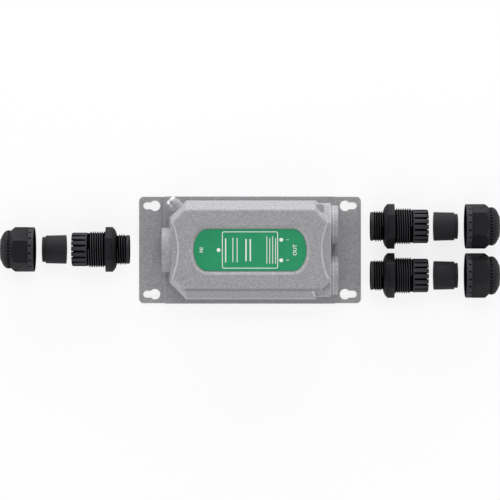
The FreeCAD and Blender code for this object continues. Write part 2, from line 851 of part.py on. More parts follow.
def make_gland_body():
    # Turned about X from the claws' tips towards the housing thread
    x1 = claw_length
    x2 = x1 + neck_length
    x3 = x2 + nut_thread_length
    x4 = x3 + body_hex_length
    x5 = x4 + flange_length
    x6 = x5 + housing_thread_shank_length
    x7 = x6 + pilot_length
    bevel = thread_end_bevel
    seat = seal_radius + seal_play
    outline = [(0, seat), (0, claw_radius - claw_tip_run), (claw_tip_run, claw_radius), (x1, claw_radius),
               (x1, neck_radius), (x2, neck_radius), (x2 + bevel, nut_thread_radius),
               (x3, nut_thread_radius), (x3, nut_thread_radius + bevel), (x4, nut_thread_radius + bevel),
               (x4, flange_radius), (x4 + flange_length * 0.35, flange_radius - flange_length * 0.2),
               (x4 + flange_length * 0.75, flange_radius - flange_length * 0.85),
               (x5, housing_thread_shank_radius), (x6, housing_thread_shank_radius),
               (x6, pilot_radius), (x7 - bevel, pilot_radius), (x7, pilot_radius - bevel),
               (x7, body_bore_radius), (seat_depth + seat_taper, body_bore_radius), (seat_depth, seat)]
    body = turned(outline)
    bore = turned([(-1, 0), (-1, seat), (seat_depth, seat), (seat_depth + seat_taper, body_bore_radius),
                   (x7 + 1, body_bore_radius), (x7 + 1, 0)])
    flats = hexagon(x3, x4, 0).cut(bore)
    body = fuse([body, flats])
    slits = []
    for i in range(claw_count):
        slit = block(-1, claw_length - claw_slit, -claw_slit / 2, claw_slit / 2, neck_radius - 2 * claw_slit,
                     claw_radius + 1)
        slit.rotate(ORIGIN, X_AXIS, claw_slit_phase + i * 360.0 / claw_count)
        slits.append(slit)
    return cut(body, slits)


def make_gland_seal():
    # Turned about X: narrow nose first, then the thick sleeve
    outline = [(0, seal_bore_radius), (0, seal_nose_radius), (seal_nose_length, seal_nose_radius),
               (seal_nose_length + seal_edge, seal_thin_radius), (seal_length - seal_edge, seal_radius),
               (seal_length, seal_radius - seal_edge), (seal_length, seal_bore_radius)]
    return turned(outline)


def make_gland_nut():
    # Turned about X from the domed mouth towards the threaded mouth
    dome = nut_dome_length
    groove = dome + nut_groove_length
    hex_end = nut_length - nut_ring_length
    thread = nut_thread_radius + nut_thread_play
    thread_start = nut_length - nut_thread_depth
    outside = []
    start_angle = math.asin(nut_mouth_radius / nut_dome_radius * 0.9)
    lip = 0.9
    steps = 8
    for i in range(steps + 1):
        share = i / steps
        angle = start_angle + (math.pi / 2 - start_angle) * share
        r = nut_dome_radius * math.sin(angle)
        x = dome * (1 - math.cos(angle) / math.cos(start_angle))
        outside.append((x, max(r, nut_mouth_radius + 0.2)))
    inner_cone = nut_mouth_radius + 0.4
    outline = [(lip, nut_mouth_radius), (0, nut_mouth_radius + 0.15)] + outside[1:]
    outline += [(dome, nut_groove_radius), (groove, nut_groove_radius), (hex_end, nut_groove_radius + 0.3),
                (hex_end, nut_ring_radius), (nut_length - 0.4, nut_ring_radius),
                (nut_length, nut_ring_radius - 0.4), (nut_length, thread + 0.4), (nut_length - 0.4, thread),
                (thread_start, thread), (thread_start, thread - 0.6), (lip + 1.2, inner_cone),
                (lip + 1.2, nut_mouth_radius)]
    shell = turned(outline)
    hollow = turned([(-1, 0), (-1, nut_mouth_radius), (lip + 1.2, nut_mouth_radius), (lip + 1.2, inner_cone),
                     (thread_start, thread - 0.6), (thread_start, thread), (nut_length + 1, thread),
                     (nut_length + 1, 0)])
    bevel_end = groove + nut_hex_bevel_length
    limit = turned([(groove, 0), (groove, nut_hex_start_radius), (bevel_end, hex_corner_radius + 0.2),
                    (hex_end, hex_corner_radius + 0.2), (hex_end, 0)])
    flats = hexagon(groove, hex_end, nut_turn).common(limit).cut(hollow)
    nut = fuse([shell, flats])
    notches = []
    start = hex_end + nut_notch_start
    half = nut_notch_width / 2
    floor = nut_ring_radius - nut_notch_depth
    for i in range(nut_notch_count):
        notch = block(start, start + nut_notch_length, -half, half, floor, nut_ring_radius + 1)
        notch.rotate(ORIGIN, X_AXIS, (i + 0.5) * 360.0 / nut_notch_count)
        notches.append(notch)
    return cut(nut, notches)


def laid(piece, offset, height, end, y):
    # A turned piece put down on the floor, offset from the layout's end, for one end of the housing
    piece = piece.copy()
    piece.translate(vec(-layout_end + offset, 0, height))
    if end > 0:
        piece.rotate(ORIGIN, Z_AXIS, 180)
    piece.translate(vec(0, y, 0))
    return piece


def glands():
    nut = make_gland_nut()
    seal = make_gland_seal()
    body = make_gland_body()
    seal_start = nut_length + nut_to_seal
    body_start = seal_start + seal_length + seal_to_body
    pieces = {}
    for name, (end, _, _, y) in ports().items():
        pieces["gland_nut_" + name] = laid(nut, 0, nut_ring_radius, end, y)
        pieces["gland_seal_" + name] = laid(seal, seal_start, seal_radius, end, y)
        pieces["gland_body_" + name] = laid(body, body_start, flange_radius, end, y)
    return pieces


def all_pieces():
    pieces = {
        "cover": make_cover(),
        "base_plate": make_base_plate(),
        "housing_gasket": make_gasket(),
        "housing_screws": make_housing_screws(),
        "label": make_label(),
        "status_leds": make_status_leds(),
        "ground_screw": make_ground_screw(),
        "ground_washer": make_ground_washer(),
        "ground_spring_washer": make_ground_spring_washer(),
        "circuit_board": make_board(),
        "board_screws": make_board_screws(),
        "magnetics": make_magnetics(),
        "switch_chip": make_switch_chip(),
        "heat_pad": make_heat_pad(),
        "power_inductor": make_power_inductor(),
        "capacitors": make_capacitors(),
    }
    for name, (x, y) in led_places().items():
        pieces["light_pipe_" + name] = make_light_pipe(x, y)
    for name, (end, y, _, _) in ports().items():
        pieces["jack_shield_" + name] = make_jack_shield(end, y)
        pieces["jack_insert_" + name] = make_jack_insert(end, y)
        pieces["jack_contacts_" + name] = make_jack_contacts(end, y)
    pieces.update(glands())
    return pieces


os.makedirs("parts", exist_ok=True)
for node, shape in all_pieces().items():
    shape.exportStep(os.path.join("parts", node + ".step"))
    print(node, "solids", len(shape.Solids), "valid", shape.isValid(), "volume", round(shape.Volume, 1))
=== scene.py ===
import json
import math

import bmesh
import bpy
from bpy.props import FloatProperty, FloatVectorProperty, IntProperty, PointerProperty
from mathutils import Matrix, Vector


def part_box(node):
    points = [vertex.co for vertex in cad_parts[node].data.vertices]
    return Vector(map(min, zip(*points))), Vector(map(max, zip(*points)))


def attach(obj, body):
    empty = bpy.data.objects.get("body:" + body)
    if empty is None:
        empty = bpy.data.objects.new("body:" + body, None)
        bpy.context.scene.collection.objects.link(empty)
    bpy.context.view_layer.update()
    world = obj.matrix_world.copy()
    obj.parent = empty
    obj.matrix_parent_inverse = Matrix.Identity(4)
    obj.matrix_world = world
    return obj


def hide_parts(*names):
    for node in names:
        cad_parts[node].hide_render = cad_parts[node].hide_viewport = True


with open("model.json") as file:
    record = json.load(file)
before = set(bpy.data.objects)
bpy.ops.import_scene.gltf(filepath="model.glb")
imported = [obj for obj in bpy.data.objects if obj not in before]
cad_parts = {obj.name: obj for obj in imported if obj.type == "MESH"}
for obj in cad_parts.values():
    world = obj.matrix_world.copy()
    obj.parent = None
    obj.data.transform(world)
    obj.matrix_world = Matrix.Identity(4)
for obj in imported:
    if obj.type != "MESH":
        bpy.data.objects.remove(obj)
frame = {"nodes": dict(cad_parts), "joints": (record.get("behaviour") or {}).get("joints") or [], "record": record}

bl_info = {
    "name": "Outdoor PoE extender",
    "version": (1, 0, 0),
    "blender": (4, 5, 0),
    "location": "View3D > Sidebar > PoE extender",
    "description": "Dresses a die-cast network housing and its three cable glands",
    "category": "Object",
}

MM = 0.001
TURN = 2 * math.pi
WELD = 1e-6
HOUSING = "housing"
WASHERS = "washer_set"
SCREW = "screw"
GLANDS = ("in", "out_1", "out_2")
OUTWARD = Vector((-1, 1, 0)).normalized()
# Way across the cut corner at the outlet end, along which its painted highlight runs
HIGHLIGHT_WAY = (0.945, 0.327)
NOTCH_COLUMNS = 5


def length(name, description, default):
    return FloatProperty(name=name, description=description, default=default, unit="LENGTH",
                         precision=5)


def colour(name, description, default):
    return FloatVectorProperty(name=name, description=description, default=default,
                               subtype="COLOR", size=3, min=0.0, max=1.0)


def part(name, description, default):
    return FloatProperty(name=name, description=description, default=default, min=0.0, max=1.0,
                         subtype="FACTOR")


def number(name, description, default):
    return FloatProperty(name=name, description=description, default=default, min=0.0)


def angle(name, description, degrees):
    return FloatProperty(name=name, description=description, default=math.radians(degrees),
                         subtype="ANGLE", unit="ROTATION")


def count(name, description, default):
    return IntProperty(name=name, description=description, default=default, min=3)


class GlandBodySizes(bpy.types.PropertyGroup):
    claw_count: count("Claws", "Clamping claws round the seal", 17)
    claw_radius: length("Claw radius", "Outside of the ring of claws", 0.0111)
    claw_length: length("Claw length", "Free length of a claw", 0.0095)
    claw_slit: length("Slit", "Gap between two claws", 0.0015)
    claw_flare: number("Flare", "How much wider a claw is on its inside", 1.5)
    claw_phase: angle("First slit", "Turn of the first slit from straight up", 8.2)
    seat_radius: length("Seat radius", "Bore that takes the seal", 0.0097)
    seat_depth: length("Seat depth", "Depth of the bore that takes the seal", 0.0152)
    bore_radius: length("Bore radius", "Way of the cable", 0.0074)
    neck_radius: length("Neck radius", "Undercut behind the claws", 0.0106)
    nut_thread_start: length("Nut thread start", "Its start, from the claw tips", 0.0108)
    nut_thread_end: length("Nut thread end", "Its end, from the claw tips", 0.0222)
    nut_thread_radius: length("Nut thread radius", "Crests of the thread of the nut", 0.0118)
    flats: length("Across flats", "Hexagon from flat to flat", 0.0257)
    hexagon_end: length("Hexagon end", "End of the hexagon, from the claw tips", 0.0272)
    flange_radius: length("Flange radius", "Rim that presses the gland's seal ring", 0.0142)
    flange_end: length("Flange end", "End of the coned flange, from the claw tips", 0.0296)
    port_thread_radius: length("Port thread radius", "Crests of the housing's thread", 0.010)
    port_thread_end: length("Port thread end", "End of the thread for the housing", 0.036)
    pilot_radius: length("Pilot radius", "Plain end of the thread", 0.0095)
    whole_length: length("Length", "Whole length of the body", 0.0382)
    edge: length("Edge", "Rounding of the moulded edges", 0.00012)


class GlandNutSizes(bpy.types.PropertyGroup):
    mouth_radius: length("Mouth radius", "Way of the cable", 0.0068)
    dome_radius: length("Dome radius", "Rounded end of the nut", 0.0127)
    dome_start: length("Dome start", "Flat mouth of the rounded end", 0.0005)
    dome_length: length("Dome length", "Length of the rounded end", 0.0057)
    groove_radius: length("Groove radius", "Groove between dome and hexagon", 0.0121)
    groove_end: length("Groove end", "End of that groove", 0.0072)
    cone_length: length("Cone length", "Length of the turned bevel on the hexagon", 0.003)
    flats: length("Across flats", "Hexagon from flat to flat", 0.0257)
    hexagon_end: length("Hexagon end", "Where the hexagon meets the ring", 0.0191)
    hexagon_turn: angle("Hexagon turn", "Turn of the nut as it lies", 7)
    ring_radius: length("Ring radius", "Ring at the threaded mouth", 0.0147)
    notch_start: length("Notch start", "Where the notches of the ring start", 0.0197)
    notch_end: length("Notch end", "Where the notches of the ring end", 0.0214)
    notch_depth: length("Notch depth", "Depth of the notches of the ring", 0.0007)
    notch_count: count("Notches", "Notches round the ring", 18)
    serrations: count("Serrations", "Small teeth in the groove", 36)
    thread_radius: length("Thread radius", "Valleys of the thread", 0.0119)
    thread_start: length("Thread start", "Inner end of the thread", 0.010)
    whole_length: length("Length", "Whole length of the nut", 0.023)


class GlandSealSizes(bpy.types.PropertyGroup):
    bore_radius: length("Bore radius", "Way of the cable", 0.0035)
    nose_radius: length("Nose radius", "Narrow end", 0.0083)
    nose_length: length("Nose length", "Length of the narrow end", 0.0022)
    nose_groove: length("Nose groove", "Width of the groove behind the nose", 0.0006)
    thin_radius: length("Thin radius", "Sleeve next to the nose", 0.0092)
    thick_radius: length("Thick radius", "Sleeve at its far end", 0.0095)
    whole_length: length("Length", "Whole length of the seal", 0.0157)


class ThreadSizes(bpy.types.PropertyGroup):
    pitch: length("Pitch", "Advance of a gland thread in one turn", 0.0015)
    depth: length("Depth", "Depth of a gland thread", 0.00095)
    crest: length("Crest width", "Flat on the crests of a gland thread", 0.00034)
    foot: length("Foot width", "Width of a ridge at the root of a gland thread", 0.00124)
    overlap: length("Overlap", "How far a ridge reaches into its piece", 0.0001)
    screw_pitch: length("Screw pitch", "Advance of the ground screw in one turn", 0.0007)
    screw_depth: length("Screw thread depth", "Depth of the ground screw's thread", 0.00038)
    turn_steps: count("Steps", "Steps in one turn of a gland thread", 40)
    screw_steps: count("Screw steps", "Steps in one turn of the ground screw's thread", 24)


class GroundSizes(bpy.types.PropertyGroup):
    shank_radius: length("Shank radius", "Crests of the ground screw's thread", 0.002)
    shank_length: length("Shank length", "Length under the head", 0.010)
    head_radius: length("Head radius", "Pan head", 0.0037)
    head_height: length("Head height", "Pan head", 0.0027)
    cross_length: length("Recess length", "Cross recess from end to end", 0.0038)
    cross_width: length("Recess width", "Arm of the cross recess", 0.0009)
    cross_depth: length("Recess depth", "Depth of the cross recess", 0.0014)
    spring_radius: length("Spring washer radius", "Outside of the split washer", 0.0038)
    spring_thickness: length("Spring washer height", "Height of the split washer", 0.0011)
    spring_arc: angle("Spring washer arc", "Turn of the split washer's wire", 348)
    spring_turn: angle("Split", "Turn of the washer's split from straight up", 160)
    washer_radius: length("Washer radius", "Outside of the flat washer", 0.0042)
    washer_thickness: length("Washer thickness", "Thickness of the flat washer", 0.0008)
    washer_play: length("Washer play", "Room between a washer and the shank", 0.00015)


class LabelSizes(bpy.types.PropertyGroup):
    ink_height: length("Ink height", "Thickness of the printed marks", 0.00004)
    frame_length: length("Frame length", "Printed frame along the housing", 0.0366)
    frame_width: length("Frame width", "Printed frame across the housing", 0.0242)
    frame_line: length("Frame line", "Thickness of the frame's line", 0.0005)
    frame_corner: length("Frame corner", "Corner radius of the frame", 0.0013)
    legend_size: length("Legend size", "Height of the words", 0.0034)
    legend_weight: length("Legend weight", "How far the legends' strokes are swollen", 0.00004)
    number_share: part("Number share", "Height of the port numbers, as a share", 0.62)


# Places and widths of the painted highlights and painted shade on the powder coat
class CastingLines(bpy.types.PropertyGroup):
    arc_centre: length("Arc centre", "Middle of the deck's curved end's circle", 0.0916)
    arc_radius: length("Arc radius", "Radius of the deck's curved end", 0.0448)
    base_end: length("Base end", "End of the base's body, from the middle", 0.0569)
    base_mid: length("Bare middle", "Stretch with no light edge, behind the collars", 0.0165)
    # Half width of a painted edge highlight
    edge_line: length("Edge line", "Half width of a highlighted edge", 0.0007)
    rim_place: length("Rim place", "Long rim of the deck, from the middle", 0.0261)
    # Half width of the painted shade under the deck's rim
    rim_line: length("Rim line", "Half width of the shading under that rim", 0.0011)
    seam_place: length("Seam place", "Seam of cover and outlet collars", 0.0537)
    seam_line: length("Seam line", "Half width of that seam", 0.0004)
    seam_reach: length("Seam reach", "Half the length of that seam", 0.0285)
    # Where the painted highlight on the outlet end's cut corner lies
    highlight_place: length("Highlight edge", "Distance of the worn edge from the middle", 0.0300)
    highlight_start: length("Highlight start", "Where that edge starts, across the housing", 0.0265)


class Finishes(bpy.types.PropertyGroup):
    coat: colour("Powder coat", "Grey coat of the casting", (0.303, 0.301, 0.315))
    nylon: colour("Nylon", "Black nylon of the glands", (0.007, 0.007, 0.009))
    # Lighter colour painted on the crests as a highlight
    nylon_crest_highlight: colour("Highlighted nylon", "Crests of threads, claws and ring", (0.034, 0.034, 0.040))
    rubber: colour("Rubber", "Dark rubber of the seals", (0.0145, 0.0145, 0.0175))
    label: colour("Label film", "Green film of the label", (0.008, 0.266, 0.110))
    ink: colour("Ink", "Printed marks of the label", (0.80, 0.84, 0.80))
    steel: colour("Plated steel", "Screws and washers", (0.62, 0.63, 0.65))
    grain: part("Coat grain", "Strength of the coat's speckle", 0.20)
    coat_roughness: part("Coat roughness", "Sheen of the coat", 0.48)
    nylon_roughness: part("Nylon roughness", "Sheen of the glands", 0.65)
    nylon_gloss: part("Nylon gloss", "Strength of the glands' sheen", 0.2)


class StudioSettings(bpy.types.PropertyGroup):
    camera_height: length("Camera height", "Camera over the mounting face", 1.994)
    lens: number("Lens", "Focal length in millimetres", 216.0)
    sensor: number("Sensor", "Width of the camera's sensor in millimetres", 36.0)
    distance: length("Lamp distance", "Every lamp from the middle of the part", 1.4)
    floor_size: length("Floor size", "Side of the pale floor", 8.0)
    floor_drop: length("Floor drop", "Floor under the mounting face", 0.0002)
    sky: number("Sky", "Strength of the soft light from all round", 0.04)
    rim: number("Rim lamp", "Watts of the lowest lamp on the ground screw's side", 15.0)
    key: number("Key lamp", "Watts of the low lamp on the ground screw's side", 9.5)
    key_high: number("High key lamp", "Watts of the steep lamp on that side", 6.5)
    fill: number("Fill lamp", "Watts of the lamp opposite the key lamp", 6.2)
    fill_high: number("High fill lamp", "Watts of the steep lamp opposite the key lamp", 3.0)
    corner: number("Corner lamp", "Watts of the inlet end's lamp opposite the key", 4.2)
    left: number("Left lamp", "Watts of the low lamp at the inlet end", 11.0)
    right: number("Right lamp", "Watts of the low lamp at the outlet end", 9.5)
    right_high: number("High right lamp", "Watts of the steep lamp at the outlet end", 3.0)


def settings():
    return bpy.context.scene.poe_extender


# Modelling

def select_nothing():
    active = bpy.context.view_layer.objects.active
    if active is not None and active.mode != "OBJECT":
        bpy.ops.object.mode_set(mode="OBJECT")
    bpy.ops.object.select_all(action="DESELECT")


def activate(obj):
    select_nothing()
    obj.select_set(True)
    bpy.context.view_layer.objects.active = obj


def edit(obj, kind="FACE"):
    activate(obj)
    bpy.ops.object.mode_set(mode="EDIT")
    bpy.ops.mesh.select_mode(type=kind)
    bpy.ops.mesh.select_all(action="DESELECT")


def leave():
    bpy.ops.object.mode_set(mode="OBJECT")


def everything():
    bpy.ops.mesh.select_all(action="SELECT")


def face_out(fill=False):
    """Fill the open ends of the mesh in edit mode if asked, turn its faces outwards and leave."""
    everything()
    if fill:
        bpy.ops.mesh.fill_holes(sides=0)
        everything()
    bpy.ops.mesh.normals_make_consistent(inside=False)
    leave()


def pick(obj, test, kind="faces"):
    """Select the faces or edges whose middle and normal or direction pass the test."""
    mesh = bmesh.from_edit_mesh(obj.data)
    mesh.normal_update()
    for item in getattr(mesh, kind):
        if kind == "faces":
            middle, way = item.calc_center_median(), item.normal
        else:
            start, end = (vertex.co for vertex in item.verts)
            middle, way = (start + end) / 2, end - start
        item.select_set(bool(test(middle, way)))
    mesh.select_flush_mode()
    bmesh.update_edit_mesh(obj.data)


def apply_place(obj):
    activate(obj)
    bpy.ops.object.transform_apply(location=True, rotation=True, scale=True)


def block(place, size, turn=(0, 0, 0)):
    select_nothing()
    bpy.ops.mesh.primitive_cube_add(size=1, location=place, rotation=turn, scale=size)
    obj = bpy.context.active_object
    apply_place(obj)
    return obj


def round_uprights(obj, radius, segments):
    """Round the vertical edges of a block, and stay in edit mode."""
    edit(obj, "EDGE")
    pick(obj, lambda middle, way: abs(way.z) > 0.9 * way.length, "edges")
    bpy.ops.mesh.bevel(offset=radius, segments=segments)


def drawn_loop(name, points):
    """Draw a closed loop from point to point, and stay in edit mode with all of it selected."""
    points = [Vector(p) for p in points]
    select_nothing()
    bpy.ops.mesh.primitive_plane_add(size=MM, location=points[0])
    obj = bpy.context.active_object
    obj.name = name
    apply_place(obj)
    bpy.ops.object.mode_set(mode="EDIT")
    bpy.ops.mesh.select_mode(type="VERT")
    everything()
    bpy.ops.mesh.merge(type="CENTER")
    for here, there in zip(points, points[1:] + points[:1]):
        bpy.ops.mesh.extrude_vertices_move(TRANSFORM_OT_translate={"value": there - here})
    everything()
    bpy.ops.mesh.remove_doubles(threshold=WELD)
    everything()
    return obj


def turned(name, outline, steps=72, sweep=TURN):
    """Turn a closed outline of distances along X and radii about the X axis."""
    obj = drawn_loop(name, [(x, 0, r) for x, r in outline])
    open_ended = sweep < TURN
    if open_ended:
        bpy.ops.mesh.edge_face_add()
        bpy.ops.transform.rotate(value=-sweep / 2, orient_axis="X", center_override=(0, 0, 0))
    bpy.ops.mesh.spin(steps=steps, angle=sweep, center=(0, 0, 0), axis=(1, 0, 0))
    everything()
    bpy.ops.mesh.remove_doubles(threshold=WELD)
    face_out(fill=open_ended)
    return obj


def finish_modifier(obj, kind, **values):
    activate(obj)
    bpy.ops.object.modifier_add(type=kind)
    modifier = obj.modifiers[-1]
    for name, value in values.items():
        setattr(modifier, name, value)
    bpy.ops.object.modifier_apply(modifier=modifier.name)


def soften(obj, width, limit=30):
    """Bevel the edges that are sharper than a limit in degrees."""
    finish_modifier(obj, "BEVEL", width=width, segments=2, limit_method="ANGLE",
                    angle_limit=math.radians(limit))


def smooth(obj, limit=32):
    activate(obj)
    bpy.ops.object.shade_smooth_by_angle(angle=math.radians(limit))


def screwed(obj, sweep, advance, steps):
    """Screw a drawn section along X and about it."""
    finish_modifier(obj, "SCREW", axis="X", angle=sweep, screw_offset=advance, iterations=1,
                    steps=steps, render_steps=steps, use_smooth_shade=True)


def helix(name, start, end, crest, root, pitch, steps, crest_width, foot_width):
    """A thread's ridge from start to end: its section is drawn at the start and screwed."""
    middle = start + foot_width / 2
    obj = drawn_loop(name, [
        (middle - foot_width / 2, 0, root), (middle - crest_width / 2, 0, crest),
        (middle + crest_width / 2, 0, crest), (middle + foot_width / 2, 0, root)])
    leave()
    turns = (end - start - foot_width) / pitch
    screwed(obj, TURN * turns, pitch * turns, round(steps * turns))
    edit(obj, "VERT")
    face_out(fill=True)
    return obj


def gland_ridge(name, start, end, crest, root):
    t = settings().threads
    return helix(name, start, end, crest, root, t.pitch, t.turn_steps, t.crest, t.foot)


def hexagon(name, start, end, flats, turn):
    """A hexagonal prism along X, with a flat on top where turn is zero."""
    select_nothing()
    bpy.ops.mesh.primitive_cylinder_add(
        vertices=6, radius=flats / math.sqrt(3), depth=end - start,
        location=((start + end) / 2, 0, 0), rotation=(0, math.pi / 2, 0))
    obj = bpy.context.active_object
    obj.name = name
    apply_place(obj)
    obj.rotation_euler.x = turn
    apply_place(obj)
    return obj


def joined(parts):
    activate(parts[0])
    for other in parts[1:]:
        other.select_set(True)
    bpy.ops.object.join()
    return bpy.context.active_object


def copied(obj):
    other = obj.copy()
    other.data = obj.data.copy()
    bpy.context.scene.collection.objects.link(other)
    return other


def ringed(obj, number_of, first=0.0):
    """Copy a piece round X and join the copies."""
    parts = [obj]
    for i in range(1, number_of):
        other = copied(obj)
        other.rotation_euler.x = i * TURN / number_of
        parts.append(other)
    whole = joined(parts)
    whole.rotation_euler.x = first
    apply_place(whole)
    return whole


def cut_to(obj, other, operation):
    finish_modifier(obj, "BOOLEAN", operation=operation, solver="EXACT", object=other)
    bpy.data.objects.remove(other)


def mark_relief(obj, spans):
    """Store how deep each point of a turned piece lies, for the painted shade in the hollows and the painted
    highlight on the crests of the moulded nylon: each span of X has a radius that is deep, a radius that is still
    in the open, and the value of its open points."""
    layer = obj.data.attributes.new("hollow", "FLOAT", "POINT")
    for vertex, item in zip(obj.data.vertices, layer.data):
        reach = math.hypot(vertex.co.y, vertex.co.z)
        item.value = 1.0
        for start, end, deep, fair, value in spans:
            if start <= vertex.co.x <= end:
                share = (reach - deep) / (fair - deep)
                item.value = 1.0 + (value - 1.0) * max(0.0, min(1.0, share))
                break


def put_on(obj, body, slot, *nodes, finish=None):
    obj.data.materials.clear()
    obj.data.materials.append(finish_of(finish or slot))
    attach(obj, body)
    if nodes:
        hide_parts(*nodes)


def lay_at_ports(model, kind, slot):
    """Lay a copy of a turned piece where each node of its kind lies, with its first end away from
    the housing, and take the model away."""
    for end in GLANDS:
        node = kind + "_" + end
        low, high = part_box(node)
        axis = (low + high) / 2
        piece = copied(model)
        piece.name = node + "_moulded"
        if axis.x < 0:
            piece.location = (low.x, axis.y, axis.z)
        else:
            piece.rotation_euler.z = math.pi
            piece.location = (high.x, axis.y, axis.z)
        apply_place(piece)
        put_on(piece, HOUSING, slot, node)
    bpy.data.objects.remove(model)


# Finishes

class Wire:
    """A shader socket that takes part in sums."""

    def __init__(self, finish, socket):
        self.finish = finish
        self.socket = socket

    def sum_of(self, operation, *terms):
        return self.finish.add("ShaderNodeMath", {"operation": operation}, dict(enumerate(terms)))

    def __add__(self, other):
        return self.sum_of("ADD", self, other)

    def __sub__(self, other):
        return self.sum_of("SUBTRACT", self, other)

    def __rsub__(self, other):
        return self.sum_of("SUBTRACT", other, self)

    def __mul__(self, other):
        return self.sum_of("MULTIPLY", self, other)

    def __abs__(self):
        return self.sum_of("ABSOLUTE", self)

    __radd__ = __add__
    __rmul__ = __mul__


class Finish:
    """A material's nodes."""

    def __init__(self, name):
        self.material = bpy.data.materials.new(name)
        self.material.use_nodes = True
        self.tree = self.material.node_tree
        self.tree.nodes.clear()
        self.place = self.add("ShaderNodeTexCoord", output="Object")

    def add(self, kind, choices=None, inputs=None, output=0):
        node = self.tree.nodes.new(kind)
        for name, value in (choices or {}).items():
            setattr(node, name, value)
        for name, value in (inputs or {}).items():
            if isinstance(value, Wire):
                self.tree.links.new(value.socket, node.inputs[name])
            elif node.inputs[name].type == "RGBA":
                node.inputs[name].default_value = (*tuple(value)[:3], 1.0)
            else:
                node.inputs[name].default_value = value
        return Wire(self, node.outputs[output])

    def other_outputs(self, wire, *names):
        return [Wire(self, wire.socket.node.outputs[name]) for name in names]

    def noise(self, scale, detail=2.0, roughness=0.5):
        return self.add("ShaderNodeTexNoise", {"noise_dimensions": "3D"},
                        {"Vector": self.place, "Scale": scale, "Detail": detail,
                         "Roughness": roughness})

    def span(self, value, low, high, to_low=0.0, to_high=1.0):
        return self.add("ShaderNodeMapRange", {"clamp": True},
                        {"Value": value, "From Min": low, "From Max": high,
                         "To Min": to_low, "To Max": to_high})

    def band(self, value, middle, inner, outer):
        """One within inner of the middle, and nothing beyond outer."""
        return self.span(abs(value - middle), inner, outer, 1.0, 0.0)

    def patches(self, noise, to_low=0.0, to_high=1.0):
        return self.span(noise, 0.3, 0.7, to_low, to_high)

    def mix(self, share, first, second):
        return self.add("ShaderNodeMix", {"data_type": "RGBA"}, {0: share, 6: first, 7: second}, 2)

    def bump(self, height, strength, distance):
        return self.add("ShaderNodeBump", None,
                        {"Height": height, "Strength": strength, "Distance": distance})

    def principled(self, **sockets):
        return self.add("ShaderNodeBsdfPrincipled", None,
                        {name.replace("_", " "): value for name, value in sockets.items()})

    def closed(self, shader):
        """Link the last shader to the output, and give the material."""
        node = self.tree.nodes.new("ShaderNodeOutputMaterial")
        self.tree.links.new(shader.socket, node.inputs["Surface"])
        return self.material

    def end(self, **sockets):
        return self.closed(self.principled(**sockets))


def tinted(shade, factor):
    return tuple(min(1.0, c * factor) for c in shade)


def painted_edge_highlights(f, x, y, z):
    """Painted highlights along the deck's two curved ends and the ends of the base, where their rounded edges
    catch the light.
    """
    cast = settings().casting
    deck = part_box("cover")[1].z - 1 * MM
    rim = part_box("base_plate")[1].z - 0.7 * MM
    side = f.add("ShaderNodeCombineXYZ", None, {"X": abs(x), "Y": y, "Z": 0.0})
    reach = f.add("ShaderNodeVectorMath", {"operation": "DISTANCE"},
                  {0: side, 1: (cast.arc_centre, 0.0, 0.0)}, "Value")
    arc = f.band(reach, cast.arc_radius, cast.edge_line * 0.3, cast.edge_line * 0.8)
    arc = arc * f.span(z, deck - 0.4 * MM, deck)
    end = f.band(abs(x), cast.base_end, cast.edge_line * 0.5, cast.edge_line * 1.2)
    end = end * f.band(z, rim, 0.5 * MM, 0.9 * MM)
    end = end * f.span(abs(y), cast.base_mid, cast.base_mid + 2 * MM)
    return arc * 0.5 + end


def painted_rim_shade(f, y, z):
    """A painted dark line of shade under the long rim of the deck that faces away from the key lamp."""
    cast = settings().casting
    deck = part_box("cover")[1].z - 2.5 * MM
    line = f.band(y, -cast.rim_place, cast.rim_line * 0.6, cast.rim_line)
    return line * f.span(z, deck - 0.5 * MM, deck)


def painted_seam_shade_and_highlights(f, x, y, z):
    """Painted shade in the seam between the cover and the outlet collars, and painted highlights on the edges
    along it.
    """
    cast = settings().casting
    line = cast.seam_line
    off = abs(x - cast.seam_place)
    held = f.band(y, 0.0, cast.seam_reach, cast.seam_reach + 0.5 * MM)
    held = held * f.span(z, 12 * MM, 14 * MM)
    # Painted shade in the seam
    dark = f.span(off, line * 0.7, line * 1.2, 1.0, 0.0)
    # Painted highlights on the edges beside the seam
    light = f.span(off, line * 1.2, line * 1.7) * f.span(off, line * 2.4, line * 3.0, 1.0, 0.0)
    return dark * held, light * held


def painted_corner_highlight(f, x, y, z):
    """A painted highlight on the edge where the long bevel meets the cut corner at the outlet end."""
    cast = settings().casting
    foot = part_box("cover")[1].z - 9 * MM
    off = x * HIGHLIGHT_WAY[0] + y * HIGHLIGHT_WAY[1]
    edge = f.band(off, cast.highlight_place, 0.25 * MM, 0.6 * MM)
    edge = edge * f.span(y, -cast.highlight_start - 0.5 * MM, -cast.highlight_start, 1.0, 0.0)
    return edge * f.span(z, foot, foot + 1 * MM)


